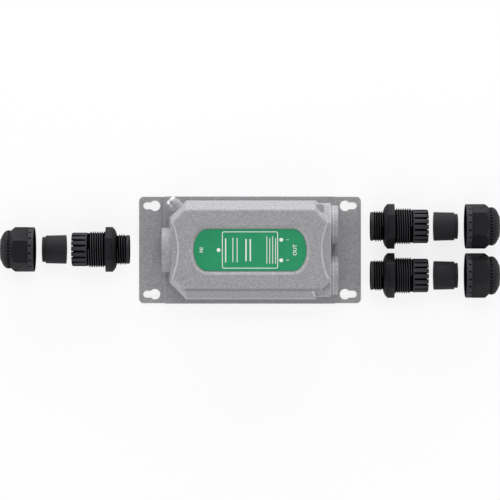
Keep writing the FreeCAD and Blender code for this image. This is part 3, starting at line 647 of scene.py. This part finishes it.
def powder_coat():
    looks = settings().finishes
    f = Finish("powder_coat")
    fine = f.noise(1500, 2.0, 0.6)
    grain = f.noise(620, 1.0, 0.5)
    cloud = f.noise(28)
    speck = f.span(fine, 0.34, 0.66) * 0.66 + f.span(grain, 0.32, 0.68) * 0.26 + cloud * 0.08
    reach = 1.6 * looks.grain
    # Lighter coat colour for the painted highlights
    highlight = tinted(looks.coat, 2.1)
    split = f.add("ShaderNodeSeparateXYZ", None, {"Vector": f.place})
    x, y, z = f.other_outputs(split, "X", "Y", "Z")
    # Painted shade and painted highlights of the outlet seam
    dark, light = painted_seam_shade_and_highlights(f, x, y, z)
    shade = f.mix(speck, tinted(looks.coat, 1 - reach), tinted(looks.coat, 1 + reach))
    # Painted highlights on the rounded ends of the deck and of the base
    shade = f.mix(painted_edge_highlights(f, x, y, z) * 0.8, shade, highlight)
    # Painted shade under the deck's long rim, on the side away from the key lamp
    shade = f.mix(painted_rim_shade(f, y, z) * 0.6, shade, tinted(looks.coat, 0.5))
    # Painted shade in the outlet seam
    shade = f.mix(dark * 0.6, shade, tinted(looks.coat, 0.45))
    # Painted highlights beside the outlet seam and on the outlet end's cut corner
    shade = f.mix(light * 0.45 + painted_corner_highlight(f, x, y, z) * 0.7, shade, highlight)
    sheen = f.patches(grain, looks.coat_roughness - 0.06, looks.coat_roughness + 0.08)
    return f.end(Base_Color=shade, Roughness=sheen, Metallic=0.0,
                 Normal=f.bump(fine * 0.6 + grain * 0.4, 0.35, 0.2 * MM))


def moulded_nylon():
    looks = settings().finishes
    f = Finish("moulded_nylon")
    fine = f.noise(2600)
    cloud = f.noise(160)
    # Deep points get painted shade, and points marked 0 get a painted highlight
    hollow = f.add("ShaderNodeAttribute", {"attribute_name": "hollow"}, output="Fac")
    plain = f.mix(f.patches(cloud), tinted(looks.nylon, 0.85), tinted(looks.nylon, 1.25))
    sheen = f.patches(cloud, looks.nylon_roughness - 0.06, looks.nylon_roughness + 0.08)
    # Painted highlight: the lighter crest colour on threads, claws and ring
    open_side = f.principled(Base_Color=f.mix(f.span(hollow, 0.0, 0.2), looks.nylon_crest_highlight, plain),
                             Specular_IOR_Level=looks.nylon_gloss, Roughness=sheen,
                             Normal=f.bump(fine, 0.18, 0.06 * MM))
    # Painted shade in the hollows: a near black with almost no sheen
    deep = f.principled(Base_Color=f.mix(cloud, tinted(looks.nylon, 0.1), tinted(looks.nylon, 0.2)),
                        Roughness=0.9, Specular_IOR_Level=0.01)
    return f.closed(f.add("ShaderNodeMixShader", None,
                          {0: f.span(hollow, 0.22, 0.5), 1: open_side, 2: deep}))


def seal_rubber():
    looks = settings().finishes
    f = Finish("seal_rubber")
    fine = f.noise(1900, 3.0, 0.6)
    cloud = f.noise(220)
    shade = f.mix(f.patches(cloud), tinted(looks.rubber, 0.85), tinted(looks.rubber, 1.3))
    return f.end(Base_Color=shade, Roughness=f.patches(cloud, 0.62, 0.78),
                 Specular_IOR_Level=looks.nylon_gloss, Normal=f.bump(fine, 0.3, 0.08 * MM))


def label_film():
    looks = settings().finishes
    f = Finish("label_film")
    fine = f.noise(3200)
    shade = f.mix(f.patches(f.noise(90)), tinted(looks.label, 0.95), tinted(looks.label, 1.06))
    return f.end(Base_Color=shade, Roughness=f.patches(fine, 0.38, 0.48),
                 Normal=f.bump(fine, 0.1, 0.04 * MM))


def printing_ink():
    looks = settings().finishes
    f = Finish("printing_ink")
    fine = f.noise(2400)
    return f.end(Base_Color=f.mix(fine, tinted(looks.ink, 0.93), looks.ink),
                 Roughness=f.patches(fine, 0.4, 0.5))


def terminal_foot():
    """The middle of the flat washer's face on the boss of the ground terminal."""
    hinge = next(j for j in frame["joints"] if j["type"] == "hinge")
    line = Vector(hinge["pos_m"])
    washer = frame["nodes"]["ground_washer"].data.vertices
    return line + OUTWARD * min((v.co - line).dot(OUTWARD) for v in washer)


def plated_steel():
    """Bright plating, with painted shade in the gaps beside the ground terminal's spring washer."""
    looks, ground = settings().finishes, settings().ground
    f = Finish("plated_steel")
    fine = f.noise(2500)
    cloud = f.noise(500)
    shade = f.mix(f.patches(cloud), tinted(looks.steel, 0.9), looks.steel)
    along = f.add("ShaderNodeVectorMath", {"operation": "DOT_PRODUCT"},
                  {0: f.place, 1: OUTWARD}, "Value")
    foot = terminal_foot().dot(OUTWARD)
    for gap in (ground.washer_thickness, ground.washer_thickness + ground.spring_thickness):
        # Painted shade in the gap between two washers or the head
        gap_shade = f.band(along - foot, gap, 0.1 * MM, 0.26 * MM)
        shade = f.mix(gap_shade * 0.95, shade, tinted(looks.steel, 0.05))
    return f.end(Base_Color=shade, Metallic=1.0, Roughness=f.patches(cloud, 0.42, 0.54),
                 Normal=f.bump(fine, 0.12, 0.04 * MM))


def clear_pipe():
    f = Finish("clear_pipe")
    cloud = f.noise(700)
    return f.end(Base_Color=f.mix(cloud, (0.90, 0.93, 0.88), (0.98, 0.99, 0.96)),
                 Roughness=f.patches(cloud, 0.22, 0.34), Transmission_Weight=0.08, IOR=1.49)


def plain_finish(name, shade, roughness, metallic=0.0, scale=1500, spread=0.12):
    f = Finish(name)
    fine = f.noise(scale)
    cloud = f.noise(scale / 6)
    return f.end(Base_Color=f.mix(f.patches(cloud), tinted(shade, 1 - spread),
                                  tinted(shade, 1 + spread)),
                 Metallic=metallic, Roughness=f.patches(cloud, roughness - 0.05, roughness + 0.07),
                 Normal=f.bump(fine, 0.15, 0.05 * MM))


def solder_mask():
    f = Finish("solder_mask")
    lanes = f.add("ShaderNodeTexVoronoi", {"feature": "DISTANCE_TO_EDGE"},
                  {"Vector": f.place, "Scale": 420}, "Distance")
    lines = f.span(lanes, 0.05, 0.09)
    cloud = f.noise(300)
    shade = f.mix(lines, (0.02, 0.20, 0.07), (0.008, 0.105, 0.035))
    return f.end(Base_Color=f.mix(cloud * 0.3, shade, (0.02, 0.16, 0.06)),
                 Roughness=f.patches(cloud, 0.3, 0.42), Normal=f.bump(1 - lines, 0.2, 0.05 * MM))


MAKERS = {
    "cast_grey": powder_coat,
    "nylon_black": moulded_nylon,
    "rubber_dark": seal_rubber,
    "label_green": label_film,
    "clear_window": clear_pipe,
    "steel_bright": plated_steel,
    "board_green": solder_mask,
    "ink": printing_ink,
}
PLAIN = {
    "rubber_black": ("gasket_rubber", (0.02, 0.02, 0.021), 0.6),
    "shield_tin": ("tinned_sheet", (0.66, 0.66, 0.64), 0.3, 1.0, 1800, 0.06),
    "jack_black": ("jack_moulding", (0.018, 0.018, 0.019), 0.42),
    "contact_gold": ("gold_plate", (0.83, 0.58, 0.22), 0.22, 1.0, 2500, 0.05),
    "chip_black": ("epoxy_moulding", (0.028, 0.028, 0.03), 0.5, 0.0, 3000),
    "pad_grey": ("heat_pad_silicone", (0.42, 0.48, 0.55), 0.7, 0.0, 1600),
    "ferrite_grey": ("ferrite", (0.07, 0.07, 0.075), 0.55, 0.0, 2200, 0.2),
    "can_silver": ("aluminium_can", (0.68, 0.68, 0.70), 0.3, 1.0, 900, 0.05),
    "led_white": ("led_epoxy", (0.78, 0.78, 0.70), 0.25, 0.0, 1500, 0.04),
}
made = {}


def finish_of(slot):
    if slot not in made:
        made[slot] = MAKERS[slot]() if slot in MAKERS else plain_finish(*PLAIN[slot])
    return made[slot]


# Pieces

class DressCastingOperator(bpy.types.Operator):
    """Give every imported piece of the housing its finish"""
    bl_idname = "poe_extender.dress_nodes"
    bl_label = "Dress the packed pieces"

    def execute(self, context):
        for row in frame["record"]["subparts"]:
            obj = frame["nodes"][row["node"]]
            obj.data.materials.clear()
            obj.data.materials.append(finish_of(row["material_slot"]))
        return {"FINISHED"}


class GlandBodyOperator(bpy.types.Operator):
    """Model a gland body with its claws and two threads, and lay one at each port"""
    bl_idname = "poe_extender.gland_bodies"
    bl_label = "Gland bodies"

    def execute(self, context):
        s, t = settings().gland_body, settings().threads
        nut_root = s.nut_thread_radius - t.depth
        port_root = s.port_thread_radius - t.depth
        body = joined([
            self.core(s, nut_root, port_root), self.flats(s), self.claws(s),
            gland_ridge("gland_nut_thread", s.nut_thread_start, s.nut_thread_end,
                        s.nut_thread_radius, nut_root - t.overlap),
            gland_ridge("gland_port_thread", s.flange_end + 0.1 * MM, s.port_thread_end,
                        s.port_thread_radius, port_root - t.overlap)])
        smooth(body)
        mark_relief(body, self.relief(s, nut_root, port_root))
        lay_at_ports(body, "gland_body", "nylon_black")
        return {"FINISHED"}

    def core(self, s, nut_root, port_root):
        """The bored and turned middle: bead, neck, two thread roots and coned flange."""
        back = s.claw_length
        bead = s.claw_radius + 0.15 * MM
        cone = s.flange_end - s.hexagon_end
        chamfer = 0.5 * MM
        core = turned("gland_core", [
            (back, s.seat_radius), (back, bead), (back + chamfer, bead),
            (back + 0.8 * MM, s.claw_radius - 0.2 * MM), (back + 1 * MM, s.neck_radius),
            (s.nut_thread_start, s.neck_radius), (s.nut_thread_start + 0.2 * MM, nut_root),
            (s.nut_thread_end, nut_root), (s.nut_thread_end + 0.3 * MM, s.nut_thread_radius),
            (s.hexagon_end, s.nut_thread_radius), (s.hexagon_end, s.flange_radius),
            (s.hexagon_end + cone * 0.35, s.flange_radius - cone * 0.2),
            (s.hexagon_end + cone * 0.75, s.flange_radius - cone * 0.85),
            (s.flange_end, s.port_thread_radius + 0.3 * MM), (s.flange_end, port_root),
            (s.port_thread_end, port_root), (s.port_thread_end, s.pilot_radius),
            (s.whole_length - chamfer, s.pilot_radius), (s.whole_length, s.pilot_radius - chamfer),
            (s.whole_length, s.bore_radius), (s.seat_depth + 2.2 * MM, s.bore_radius),
            (s.seat_depth, s.seat_radius)], 80)
        soften(core, s.edge)
        return core

    def flats(self, s):
        """The hexagon, hollowed for the core."""
        start, end = s.nut_thread_end - 1 * MM, s.hexagon_end + 1 * MM
        inside = s.nut_thread_radius - 0.4 * MM
        flats = hexagon("gland_flats", s.nut_thread_end, s.hexagon_end, s.flats, 0)
        hollow = turned("gland_hollow", [
            (start, 0.1 * MM), (start, inside), (end, inside), (end, 0.1 * MM)], 80)
        cut_to(flats, hollow, "DIFFERENCE")
        soften(flats, s.edge)
        return flats

    def claws(self, s):
        root = s.claw_length + 0.05 * MM
        sweep = TURN / s.claw_count - s.claw_slit / (s.claw_radius - 0.75 * MM)
        claw = turned("gland_claw", [
            (0, s.seat_radius), (0, s.claw_radius - 0.8 * MM), (0.8 * MM, s.claw_radius),
            (root, s.claw_radius), (root, s.seat_radius)], 4, sweep)
        edit(claw)
        pick(claw, lambda middle, normal: normal.z < -0.8 and abs(normal.x) < 0.2)
        bpy.ops.transform.resize(value=(1, s.claw_flare, 1))
        leave()
        soften(claw, 0.14 * MM)
        return ringed(claw, s.claw_count, s.claw_phase + math.pi / s.claw_count)

    def relief(self, s, nut_root, port_root):
        # Spans for painted shade in the hollows, and for the painted highlight where the value is 0
        near, skin = 0.05 * MM, 0.2 * MM
        claw_end = s.claw_length - 0.1 * MM
        claw_fair = s.claw_radius - 0.3 * MM
        nut_end, flange_end = s.nut_thread_end - near, s.flange_end + near
        port_end = s.port_thread_end - near
        return [
            (-1 * MM, claw_end, s.claw_radius - 0.9 * MM, claw_fair, 0.08),
            (claw_end, s.claw_length + 0.7 * MM, s.neck_radius - 1 * MM, claw_fair, 0.0),
            (s.nut_thread_start - 0.3 * MM, nut_end, nut_root + skin,
             s.nut_thread_radius - near, 0.0),
            (nut_end, flange_end, s.bore_radius, s.nut_thread_radius, 0.2),
            (flange_end, port_end, port_root + skin, s.port_thread_radius - near, 0.1),
            (port_end, s.whole_length, s.bore_radius, s.pilot_radius - 0.5 * MM, 0.1)]


class GlandSealOperator(bpy.types.Operator):
    """Model the rubber seal of a gland, and lay one at each port"""
    bl_idname = "poe_extender.gland_seals"
    bl_label = "Gland seals"

    def execute(self, context):
        s = settings().gland_seal
        groove = s.nose_length - s.nose_groove
        undercut = s.nose_radius - 0.35 * MM
        lead, mouth = 0.8 * MM, 0.5 * MM
        seal = turned("gland_seal", [
            (0, s.bore_radius + mouth), (0, s.nose_radius), (groove, s.nose_radius),
            (groove, undercut), (s.nose_length, undercut), (s.nose_length, s.thin_radius),
            (s.whole_length, s.thick_radius), (s.whole_length, s.bore_radius + lead),
            (s.whole_length - lead, s.bore_radius), (mouth, s.bore_radius)], 80)
        soften(seal, 0.06 * MM)
        smooth(seal)
        lay_at_ports(seal, "gland_seal", "rubber_dark")
        return {"FINISHED"}


class GlandNutOperator(bpy.types.Operator):
    """Model the domed nut of a gland with its hexagon, notches and thread, and lay one at each port"""
    bl_idname = "poe_extender.gland_nuts"
    bl_label = "Gland nuts"

    def execute(self, context):
        s, t = settings().gland_nut, settings().threads
        nut = joined([
            self.shell(s), self.flats(s), self.teeth(s),
            gland_ridge("nut_thread", s.thread_start + 0.4 * MM, s.whole_length - 0.5 * MM,
                        s.thread_radius - t.depth, s.thread_radius + t.overlap)])
        smooth(nut)
        mark_relief(nut, self.relief(s))
        lay_at_ports(nut, "gland_nut", "nylon_black")
        return {"FINISHED"}

    def dome(self, s, points=12):
        """The rounded end, from its flat mouth to its widest place."""
        start = math.asin(s.mouth_radius / s.dome_radius * 0.9)
        dome = []
        for i in range(1, points + 1):
            climb = start + (math.pi / 2 - start) * i / points
            share = 1 - math.cos(climb) / math.cos(start)
            dome.append((s.dome_start + (s.dome_length - s.dome_start) * share,
                         s.dome_radius * math.sin(climb)))
        return dome

    def shell(self, s):
        steps = s.notch_count * NOTCH_COLUMNS
        lip, lead = 0.35 * MM, 0.45 * MM
        inside = 2.1 * MM
        shell = turned("nut_shell", [
            (s.dome_start + 0.9 * MM, s.mouth_radius),
            (s.dome_start + 0.25 * MM, s.mouth_radius + 0.12 * MM),
            (s.dome_start, s.mouth_radius + lip),
            *self.dome(s), (s.dome_length, s.groove_radius), (s.groove_end, s.groove_radius),
            (s.hexagon_end, s.groove_radius + 0.3 * MM), (s.hexagon_end, s.ring_radius),
            (s.notch_start, s.ring_radius), (s.notch_end, s.ring_radius),
            (s.whole_length - lip, s.ring_radius), (s.whole_length, s.ring_radius - lip),
            (s.whole_length, s.thread_radius + lead), (s.whole_length - lead, s.thread_radius),
            (s.thread_start, s.thread_radius), (s.thread_start, s.thread_radius - 0.6 * MM),
            (inside, s.mouth_radius + 0.4 * MM), (inside, s.mouth_radius)], steps)
        edit(shell)

        def in_notch(middle, normal):
            column = math.floor(math.atan2(middle.y, middle.z) % TURN / (TURN / steps))
            outside = math.hypot(middle.y, middle.z) > s.ring_radius - 0.1 * MM
            in_span = s.notch_start < middle.x < s.notch_end
            return outside and in_span and column % NOTCH_COLUMNS == NOTCH_COLUMNS // 2

        pick(shell, in_notch)
        bpy.ops.mesh.extrude_region_shrink_fatten(
            TRANSFORM_OT_shrink_fatten={"value": -s.notch_depth})
        leave()
        soften(shell, 0.1 * MM, 28)
        return shell

    def flats(self, s):
        """The hexagon, coned towards the dome."""
        outside = s.flats / math.sqrt(3) + 0.05 * MM
        start, end = s.groove_end - 0.5 * MM, s.hexagon_end + 1 * MM
        flats = hexagon("nut_flats", s.groove_end, s.hexagon_end, s.flats, s.hexagon_turn)
        limit = turned("nut_limit", [
            (start, s.groove_radius), (start, s.groove_radius - 0.1 * MM),
            (s.groove_end, s.groove_radius + 0.2 * MM), (s.groove_end + s.cone_length, outside),
            (end, outside), (end, s.groove_radius - 0.05 * MM)], 90)
        cut_to(flats, limit, "INTERSECT")
        soften(flats, 0.2 * MM, 25)
        return flats

    def teeth(self, s):
        """The small teeth in the groove."""
        tooth = block((s.dome_length + 0.75 * MM, 0, s.groove_radius + 0.1 * MM),
                      (0.9 * MM, 0.8 * MM, 0.7 * MM))
        edit(tooth)
        pick(tooth, lambda middle, normal: normal.z > 0.9)
        bpy.ops.mesh.inset(thickness=0.16 * MM)
        bpy.ops.transform.translate(value=(0, 0, 0.12 * MM))
        leave()
        return ringed(tooth, s.serrations)

    def relief(self, s):
        # Spans for painted shade in the hollows, and for the painted highlight where the value is 0
        dome_end, groove_end = s.dome_length - 0.1 * MM, s.groove_end - 0.05 * MM
        flats_end, ring_end = s.hexagon_end + 0.15 * MM, s.whole_length - 0.2 * MM
        groove, ring = s.groove_radius, s.ring_radius
        return [
            (-1 * MM, dome_end, s.mouth_radius, s.mouth_radius + 0.3 * MM, 0.2),
            (dome_end, groove_end, groove + 0.1 * MM, groove + 0.35 * MM, 0.0),
            (groove_end, flats_end, s.thread_radius, groove - 0.1 * MM, 0.2),
            (flats_end, ring_end, ring - 0.6 * MM, ring - 0.3 * MM, 0.0),
            (ring_end, s.whole_length + 1 * MM, s.thread_radius + 1.5 * MM, ring, 0.2)]


class PortThreadOperator(bpy.types.Operator):
    """Lay the ridge of a thread in the mouth of each cable port"""
    bl_idname = "poe_extender.port_threads"
    bl_label = "Port threads"

    def execute(self, context):
        t = settings().threads
        mounts = {m["name"]: m for m in frame["record"]["mounts"]}
        for end in GLANDS:
            mount = mounts["port_" + end]
            mouth = Vector(mount["pos_m"])
            radius = mount["dims"]["r_mm"] * MM
            depth = mount["dims"]["length_mm"] * MM
            ridge = gland_ridge("port_thread_" + end, 0.5 * MM, depth - 0.2 * MM,
                                radius - t.depth, radius + 0.05 * MM)
            if mouth.x > 0:
                ridge.rotation_euler.z = math.pi
            ridge.location = mouth
            apply_place(ridge)
            smooth(ridge)
            put_on(ridge, HOUSING, "cast_grey")
        return {"FINISHED"}


class LabelPrintOperator(bpy.types.Operator):
    """Print the plain frame, port legends and ruled lines on the label"""
    bl_idname = "poe_extender.label_print"
    bl_label = "Label printing"
    # Millimetres along the housing, the two ends across it, and the width
    BARS = (
        (-15.9, -8.0, 7.6, 0.75),
        (-11.2, -8.0, 8.0, 0.5),
        (-8.4, -8.0, 8.0, 0.5),
        (-2.6, -7.4, 7.2, 0.9),
        (0.2, -7.4, 7.2, 0.9),
        (11.0, -9.0, 9.0, 0.45),
        (12.9, -9.0, 7.7, 0.45),
        (14.8, -9.0, 9.0, 0.45),
        (16.7, -9.0, 7.7, 0.45),
    )

    def execute(self, context):
        s = settings().label
        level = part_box("label")[1].z
        parts = [self.frame_line(s, level)]
        for x, start, end, width in self.BARS:
            parts.append(self.bar(x * MM, start * MM, end * MM, width * MM, level, s.ink_height))
        for text, x, y, turn, share in (("IN", -32.0, 0, -1, 1.0), ("OUT", 29.4, 0, 1, 1.0),
                                        ("1", 24.6, 6.7, 1, s.number_share),
                                        ("2", 24.6, -6.7, 1, s.number_share)):
            parts.append(self.legend(text, (x * MM, y * MM), turn * math.pi / 2, s, level, share))
        print_piece = joined(parts)
        print_piece.name = "label_print"
        put_on(print_piece, HOUSING, "label_green", finish="ink")
        return {"FINISHED"}

    def bar(self, x, start, end, width, level, height):
        obj = block((x, (start + end) / 2, level + height / 2), (width, end - start, height))
        round_uprights(obj, width * 0.3, 2)
        leave()
        return obj

    def frame_line(self, s, level):
        obj = block((0, 0, level + s.ink_height / 2), (s.frame_length, s.frame_width, s.ink_height))
        round_uprights(obj, s.frame_corner, 6)
        bpy.ops.mesh.select_mode(type="FACE")
        pick(obj, lambda middle, normal: abs(normal.z) > 0.9)
        bpy.ops.mesh.inset(thickness=s.frame_line)
        bpy.ops.mesh.bridge_edge_loops()
        leave()
        return obj

    def legend(self, text, place, turn, s, level, share):
        select_nothing()
        bpy.ops.object.text_add(location=(*place, level + s.ink_height / 2), rotation=(0, 0, turn))
        obj = bpy.context.active_object
        obj.data.body = text
        obj.data.size = s.legend_size * share
        obj.data.align_x = "CENTER"
        obj.data.align_y = "CENTER"
        obj.data.extrude = s.ink_height / 2
        obj.data.offset = s.legend_weight
        activate(obj)
        bpy.ops.object.convert(target="MESH")
        apply_place(bpy.context.active_object)
        return bpy.context.active_object


class GroundTerminalOperator(bpy.types.Operator):
    """Model the ground screw with its thread and recess, its split washer and its flat washer"""
    bl_idname = "poe_extender.ground_terminal"
    bl_label = "Ground terminal"
    AXIS_HOLE = 0.2 * MM

    def execute(self, context):
        s, t = settings().ground, settings().threads
        root = s.shank_radius - t.screw_depth
        start = s.washer_thickness + s.spring_thickness
        tip = start - s.shank_length
        screw = joined([
            self.head(s, start), self.shank(tip, start + 0.05 * MM, root),
            helix("ground_ridge", tip + 0.4 * MM, start - 0.2 * MM, s.shank_radius,
                  root - 0.05 * MM, t.screw_pitch, t.screw_steps, t.screw_pitch * 0.14,
                  t.screw_pitch * 0.9)])
        self.stand(screw, "ground_screw_turned", SCREW, "ground_screw")
        self.stand(self.flat_ring(s), "ground_washer_stamped", WASHERS, "ground_washer")
        self.stand(self.split_ring(s), "ground_spring_washer_wound", WASHERS,
                   "ground_spring_washer")
        return {"FINISHED"}

    def head(self, s, start):
        """The pan head, with its cross recess."""
        height, top = s.head_height, start + s.head_height
        head = turned("ground_head", [
            (start, 0.5 * MM), (start, s.head_radius - 0.1 * MM),
            (start + 0.1 * MM, s.head_radius), (start + height * 0.5, s.head_radius),
            (start + height * 0.72, s.head_radius - 0.25 * MM),
            (start + height * 0.9, s.head_radius - 0.75 * MM), (top, s.head_radius - 1.5 * MM),
            (top, self.AXIS_HOLE), (start + height * 0.4, self.AXIS_HOLE)], 48)
        self.close_axis(head)
        for turn in (0, math.pi / 2):
            arm = block((top, 0, 0), (2 * s.cross_depth, s.cross_length, s.cross_width),
                        (turn, 0, 0))
            cut_to(head, arm, "DIFFERENCE")
        soften(head, 0.08 * MM, 40)
        return head

    def shank(self, tip, end, root):
        shank = turned("ground_shank", [
            (tip, self.AXIS_HOLE), (tip, root - 0.25 * MM), (tip + 0.4 * MM, root), (end, root),
            (end, self.AXIS_HOLE)], 40)
        self.close_axis(shank)
        return shank

    def close_axis(self, obj):
        """Close the small hole round the X axis, ring by ring."""
        edit(obj, "VERT")

        def on_axis(vertex):
            return math.hypot(vertex.co.y, vertex.co.z) < 0.6 * MM

        mesh = bmesh.from_edit_mesh(obj.data)
        for x in sorted({round(v.co.x, 6) for v in mesh.verts if on_axis(v)}):
            bpy.ops.mesh.select_all(action="DESELECT")
            mesh = bmesh.from_edit_mesh(obj.data)
            for v in mesh.verts:
                v.select_set(on_axis(v) and abs(v.co.x - x) < WELD)
            mesh.select_flush_mode()
            bmesh.update_edit_mesh(obj.data)
            bpy.ops.mesh.merge(type="CENTER")
        face_out()

    def flat_ring(self, s):
        inner = s.shank_radius + s.washer_play
        ring = turned("ground_washer_ring", [
            (0, inner), (0, s.washer_radius), (s.washer_thickness, s.washer_radius),
            (s.washer_thickness, inner)], 64)
        soften(ring, 0.22 * MM)
        return ring

    def split_ring(self, s):
        """The spring washer: a square wire that climbs in one turn, with its split turned away."""
        inner, start = s.shank_radius + s.washer_play, s.washer_thickness
        wire = s.spring_thickness * 0.7
        ring = drawn_loop("split_ring", [
            (start, 0, inner), (start, 0, s.spring_radius), (start + wire, 0, s.spring_radius),
            (start + wire, 0, inner)])
        leave()
        screwed(ring, s.spring_arc, s.spring_thickness - wire, 44)
        edit(ring)
        face_out(fill=True)
        soften(ring, 0.2 * MM, 50)
        ring.rotation_euler.x = s.spring_turn
        apply_place(ring)
        return ring

    def stand(self, obj, name, body, node):
        """Turn a piece from the X axis onto the terminal's axis, with X = 0 on the boss."""
        smooth(obj)
        turn = Vector((1, 0, 0)).rotation_difference(OUTWARD).to_matrix().to_4x4()
        obj.data.transform(Matrix.Translation(terminal_foot()) @ turn)
        obj.name = name
        put_on(obj, body, "steel_bright", node)


# Stage

class StageOperator(bpy.types.Operator):
    """Set up the pale floor, the lamps, the sky and the camera"""
    bl_idname = "poe_extender.stage"
    bl_label = "Stage"
    # Name, degrees round from +X, degrees above the floor, and size in metres
    LAMPS = (
        ("rim", 90, 6, (1.8, 0.28)),
        ("key", 90, 18, (1.6, 0.4)),
        ("key_high", 90, 62, (1.4, 0.5)),
        ("fill", -90, 38, (1.6, 0.5)),
        ("fill_high", -90, 62, (1.4, 0.5)),
        ("corner", 225, 18, (1.0, 0.4)),
        ("left", 180, 8, (1.4, 0.3)),
        ("right", 0, 8, (1.4, 0.3)),
        ("right_high", 0, 55, (1.2, 0.5)),
    )

    def execute(self, context):
        s = settings().studio
        self.floor(s)
        self.sky(s)
        for name, way, climb, size in self.LAMPS:
            self.lamp(name, math.radians(way), math.radians(climb), size, s)
        self.camera(s)
        context.scene.view_settings.view_transform = "Standard"
        return {"FINISHED"}

    def floor(self, s):
        select_nothing()
        bpy.ops.mesh.primitive_plane_add(size=s.floor_size, location=(0, 0, -s.floor_drop))
        floor = bpy.context.active_object
        floor.name = "studio_floor"
        f = Finish("studio_floor")
        ray = f.add("ShaderNodeLightPath", output="Is Camera Ray")
        glossy, through = f.other_outputs(ray, "Is Glossy Ray", "Is Transmission Ray")
        seen = f.add("ShaderNodeMath", {"operation": "MINIMUM"}, {0: ray + glossy + through, 1: 1.0})
        matt = f.add("ShaderNodeBsdfDiffuse", None, {"Color": (0.94, 0.94, 0.94)})
        white = f.add("ShaderNodeEmission", None, {"Color": (1, 1, 1), "Strength": 1.0})
        share = f.add("ShaderNodeMixShader", None, {0: seen * 0.8, 1: matt, 2: white})
        floor.data.materials.append(f.closed(share))

    def sky(self, s):
        world = bpy.data.worlds.new("studio_sky")
        world.use_nodes = True
        back = world.node_tree.nodes["Background"]
        back.inputs["Color"].default_value = (1, 1, 1, 1)
        back.inputs["Strength"].default_value = s.sky
        bpy.context.scene.world = world

    def lamp(self, name, way, climb, size, s):
        level = math.cos(climb)
        place = s.distance * Vector((level * math.cos(way), level * math.sin(way), math.sin(climb)))
        bpy.ops.object.light_add(type="AREA", location=place)
        lamp = bpy.context.active_object
        lamp.name = name + "_lamp"
        lamp.data.shape = "RECTANGLE"
        lamp.data.size, lamp.data.size_y = size
        lamp.data.energy = getattr(s, name)
        lamp.rotation_euler = (-place).to_track_quat("-Z", "Y").to_euler()

    def camera(self, s):
        bpy.ops.object.camera_add(location=(0.0, 0.0, s.camera_height), rotation=(0, 0, 0))
        camera = bpy.context.active_object
        camera.name = "photo_camera"
        camera.data.lens = s.lens
        camera.data.sensor_width = s.sensor
        camera.data.clip_start = 0.01
        camera.data.clip_end = 50.0
        bpy.context.scene.camera = camera


class PoeExtenderSettings(bpy.types.PropertyGroup):
    gland_body: PointerProperty(type=GlandBodySizes, name="Gland body")
    gland_nut: PointerProperty(type=GlandNutSizes, name="Gland nut")
    gland_seal: PointerProperty(type=GlandSealSizes, name="Gland seal")
    threads: PointerProperty(type=ThreadSizes, name="Threads")
    ground: PointerProperty(type=GroundSizes, name="Ground terminal")
    label: PointerProperty(type=LabelSizes, name="Label")
    casting: PointerProperty(type=CastingLines, name="Casting")
    finishes: PointerProperty(type=Finishes, name="Finishes")
    studio: PointerProperty(type=StudioSettings, name="Studio")


OPERATORS = (StageOperator, DressCastingOperator, GlandBodyOperator, GlandSealOperator,
             GlandNutOperator, PortThreadOperator, LabelPrintOperator, GroundTerminalOperator)


class PoeExtenderPanel(bpy.types.Panel):
    """Steps of the part"""
    bl_idname = "VIEW3D_PT_poe_extender"
    bl_label = "PoE extender"
    bl_space_type = "VIEW_3D"
    bl_region_type = "UI"
    bl_category = "PoE extender"

    def draw(self, context):
        for step in OPERATORS:
            self.layout.operator(step.bl_idname)


CLASSES = (GlandBodySizes, GlandNutSizes, GlandSealSizes, ThreadSizes, GroundSizes, LabelSizes,
           CastingLines, Finishes, StudioSettings, PoeExtenderSettings, *OPERATORS,
           PoeExtenderPanel)


def register():
    for kind in CLASSES:
        bpy.utils.register_class(kind)
    bpy.types.Scene.poe_extender = PointerProperty(type=PoeExtenderSettings)


def unregister():
    del bpy.types.Scene.poe_extender
    for kind in reversed(CLASSES):
        bpy.utils.unregister_class(kind)


def main():
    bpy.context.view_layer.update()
    register()
    for step in OPERATORS:
        group, name = step.bl_idname.split(".")
        getattr(getattr(bpy.ops, group), name)()


if __name__ == "__main__":
    main()
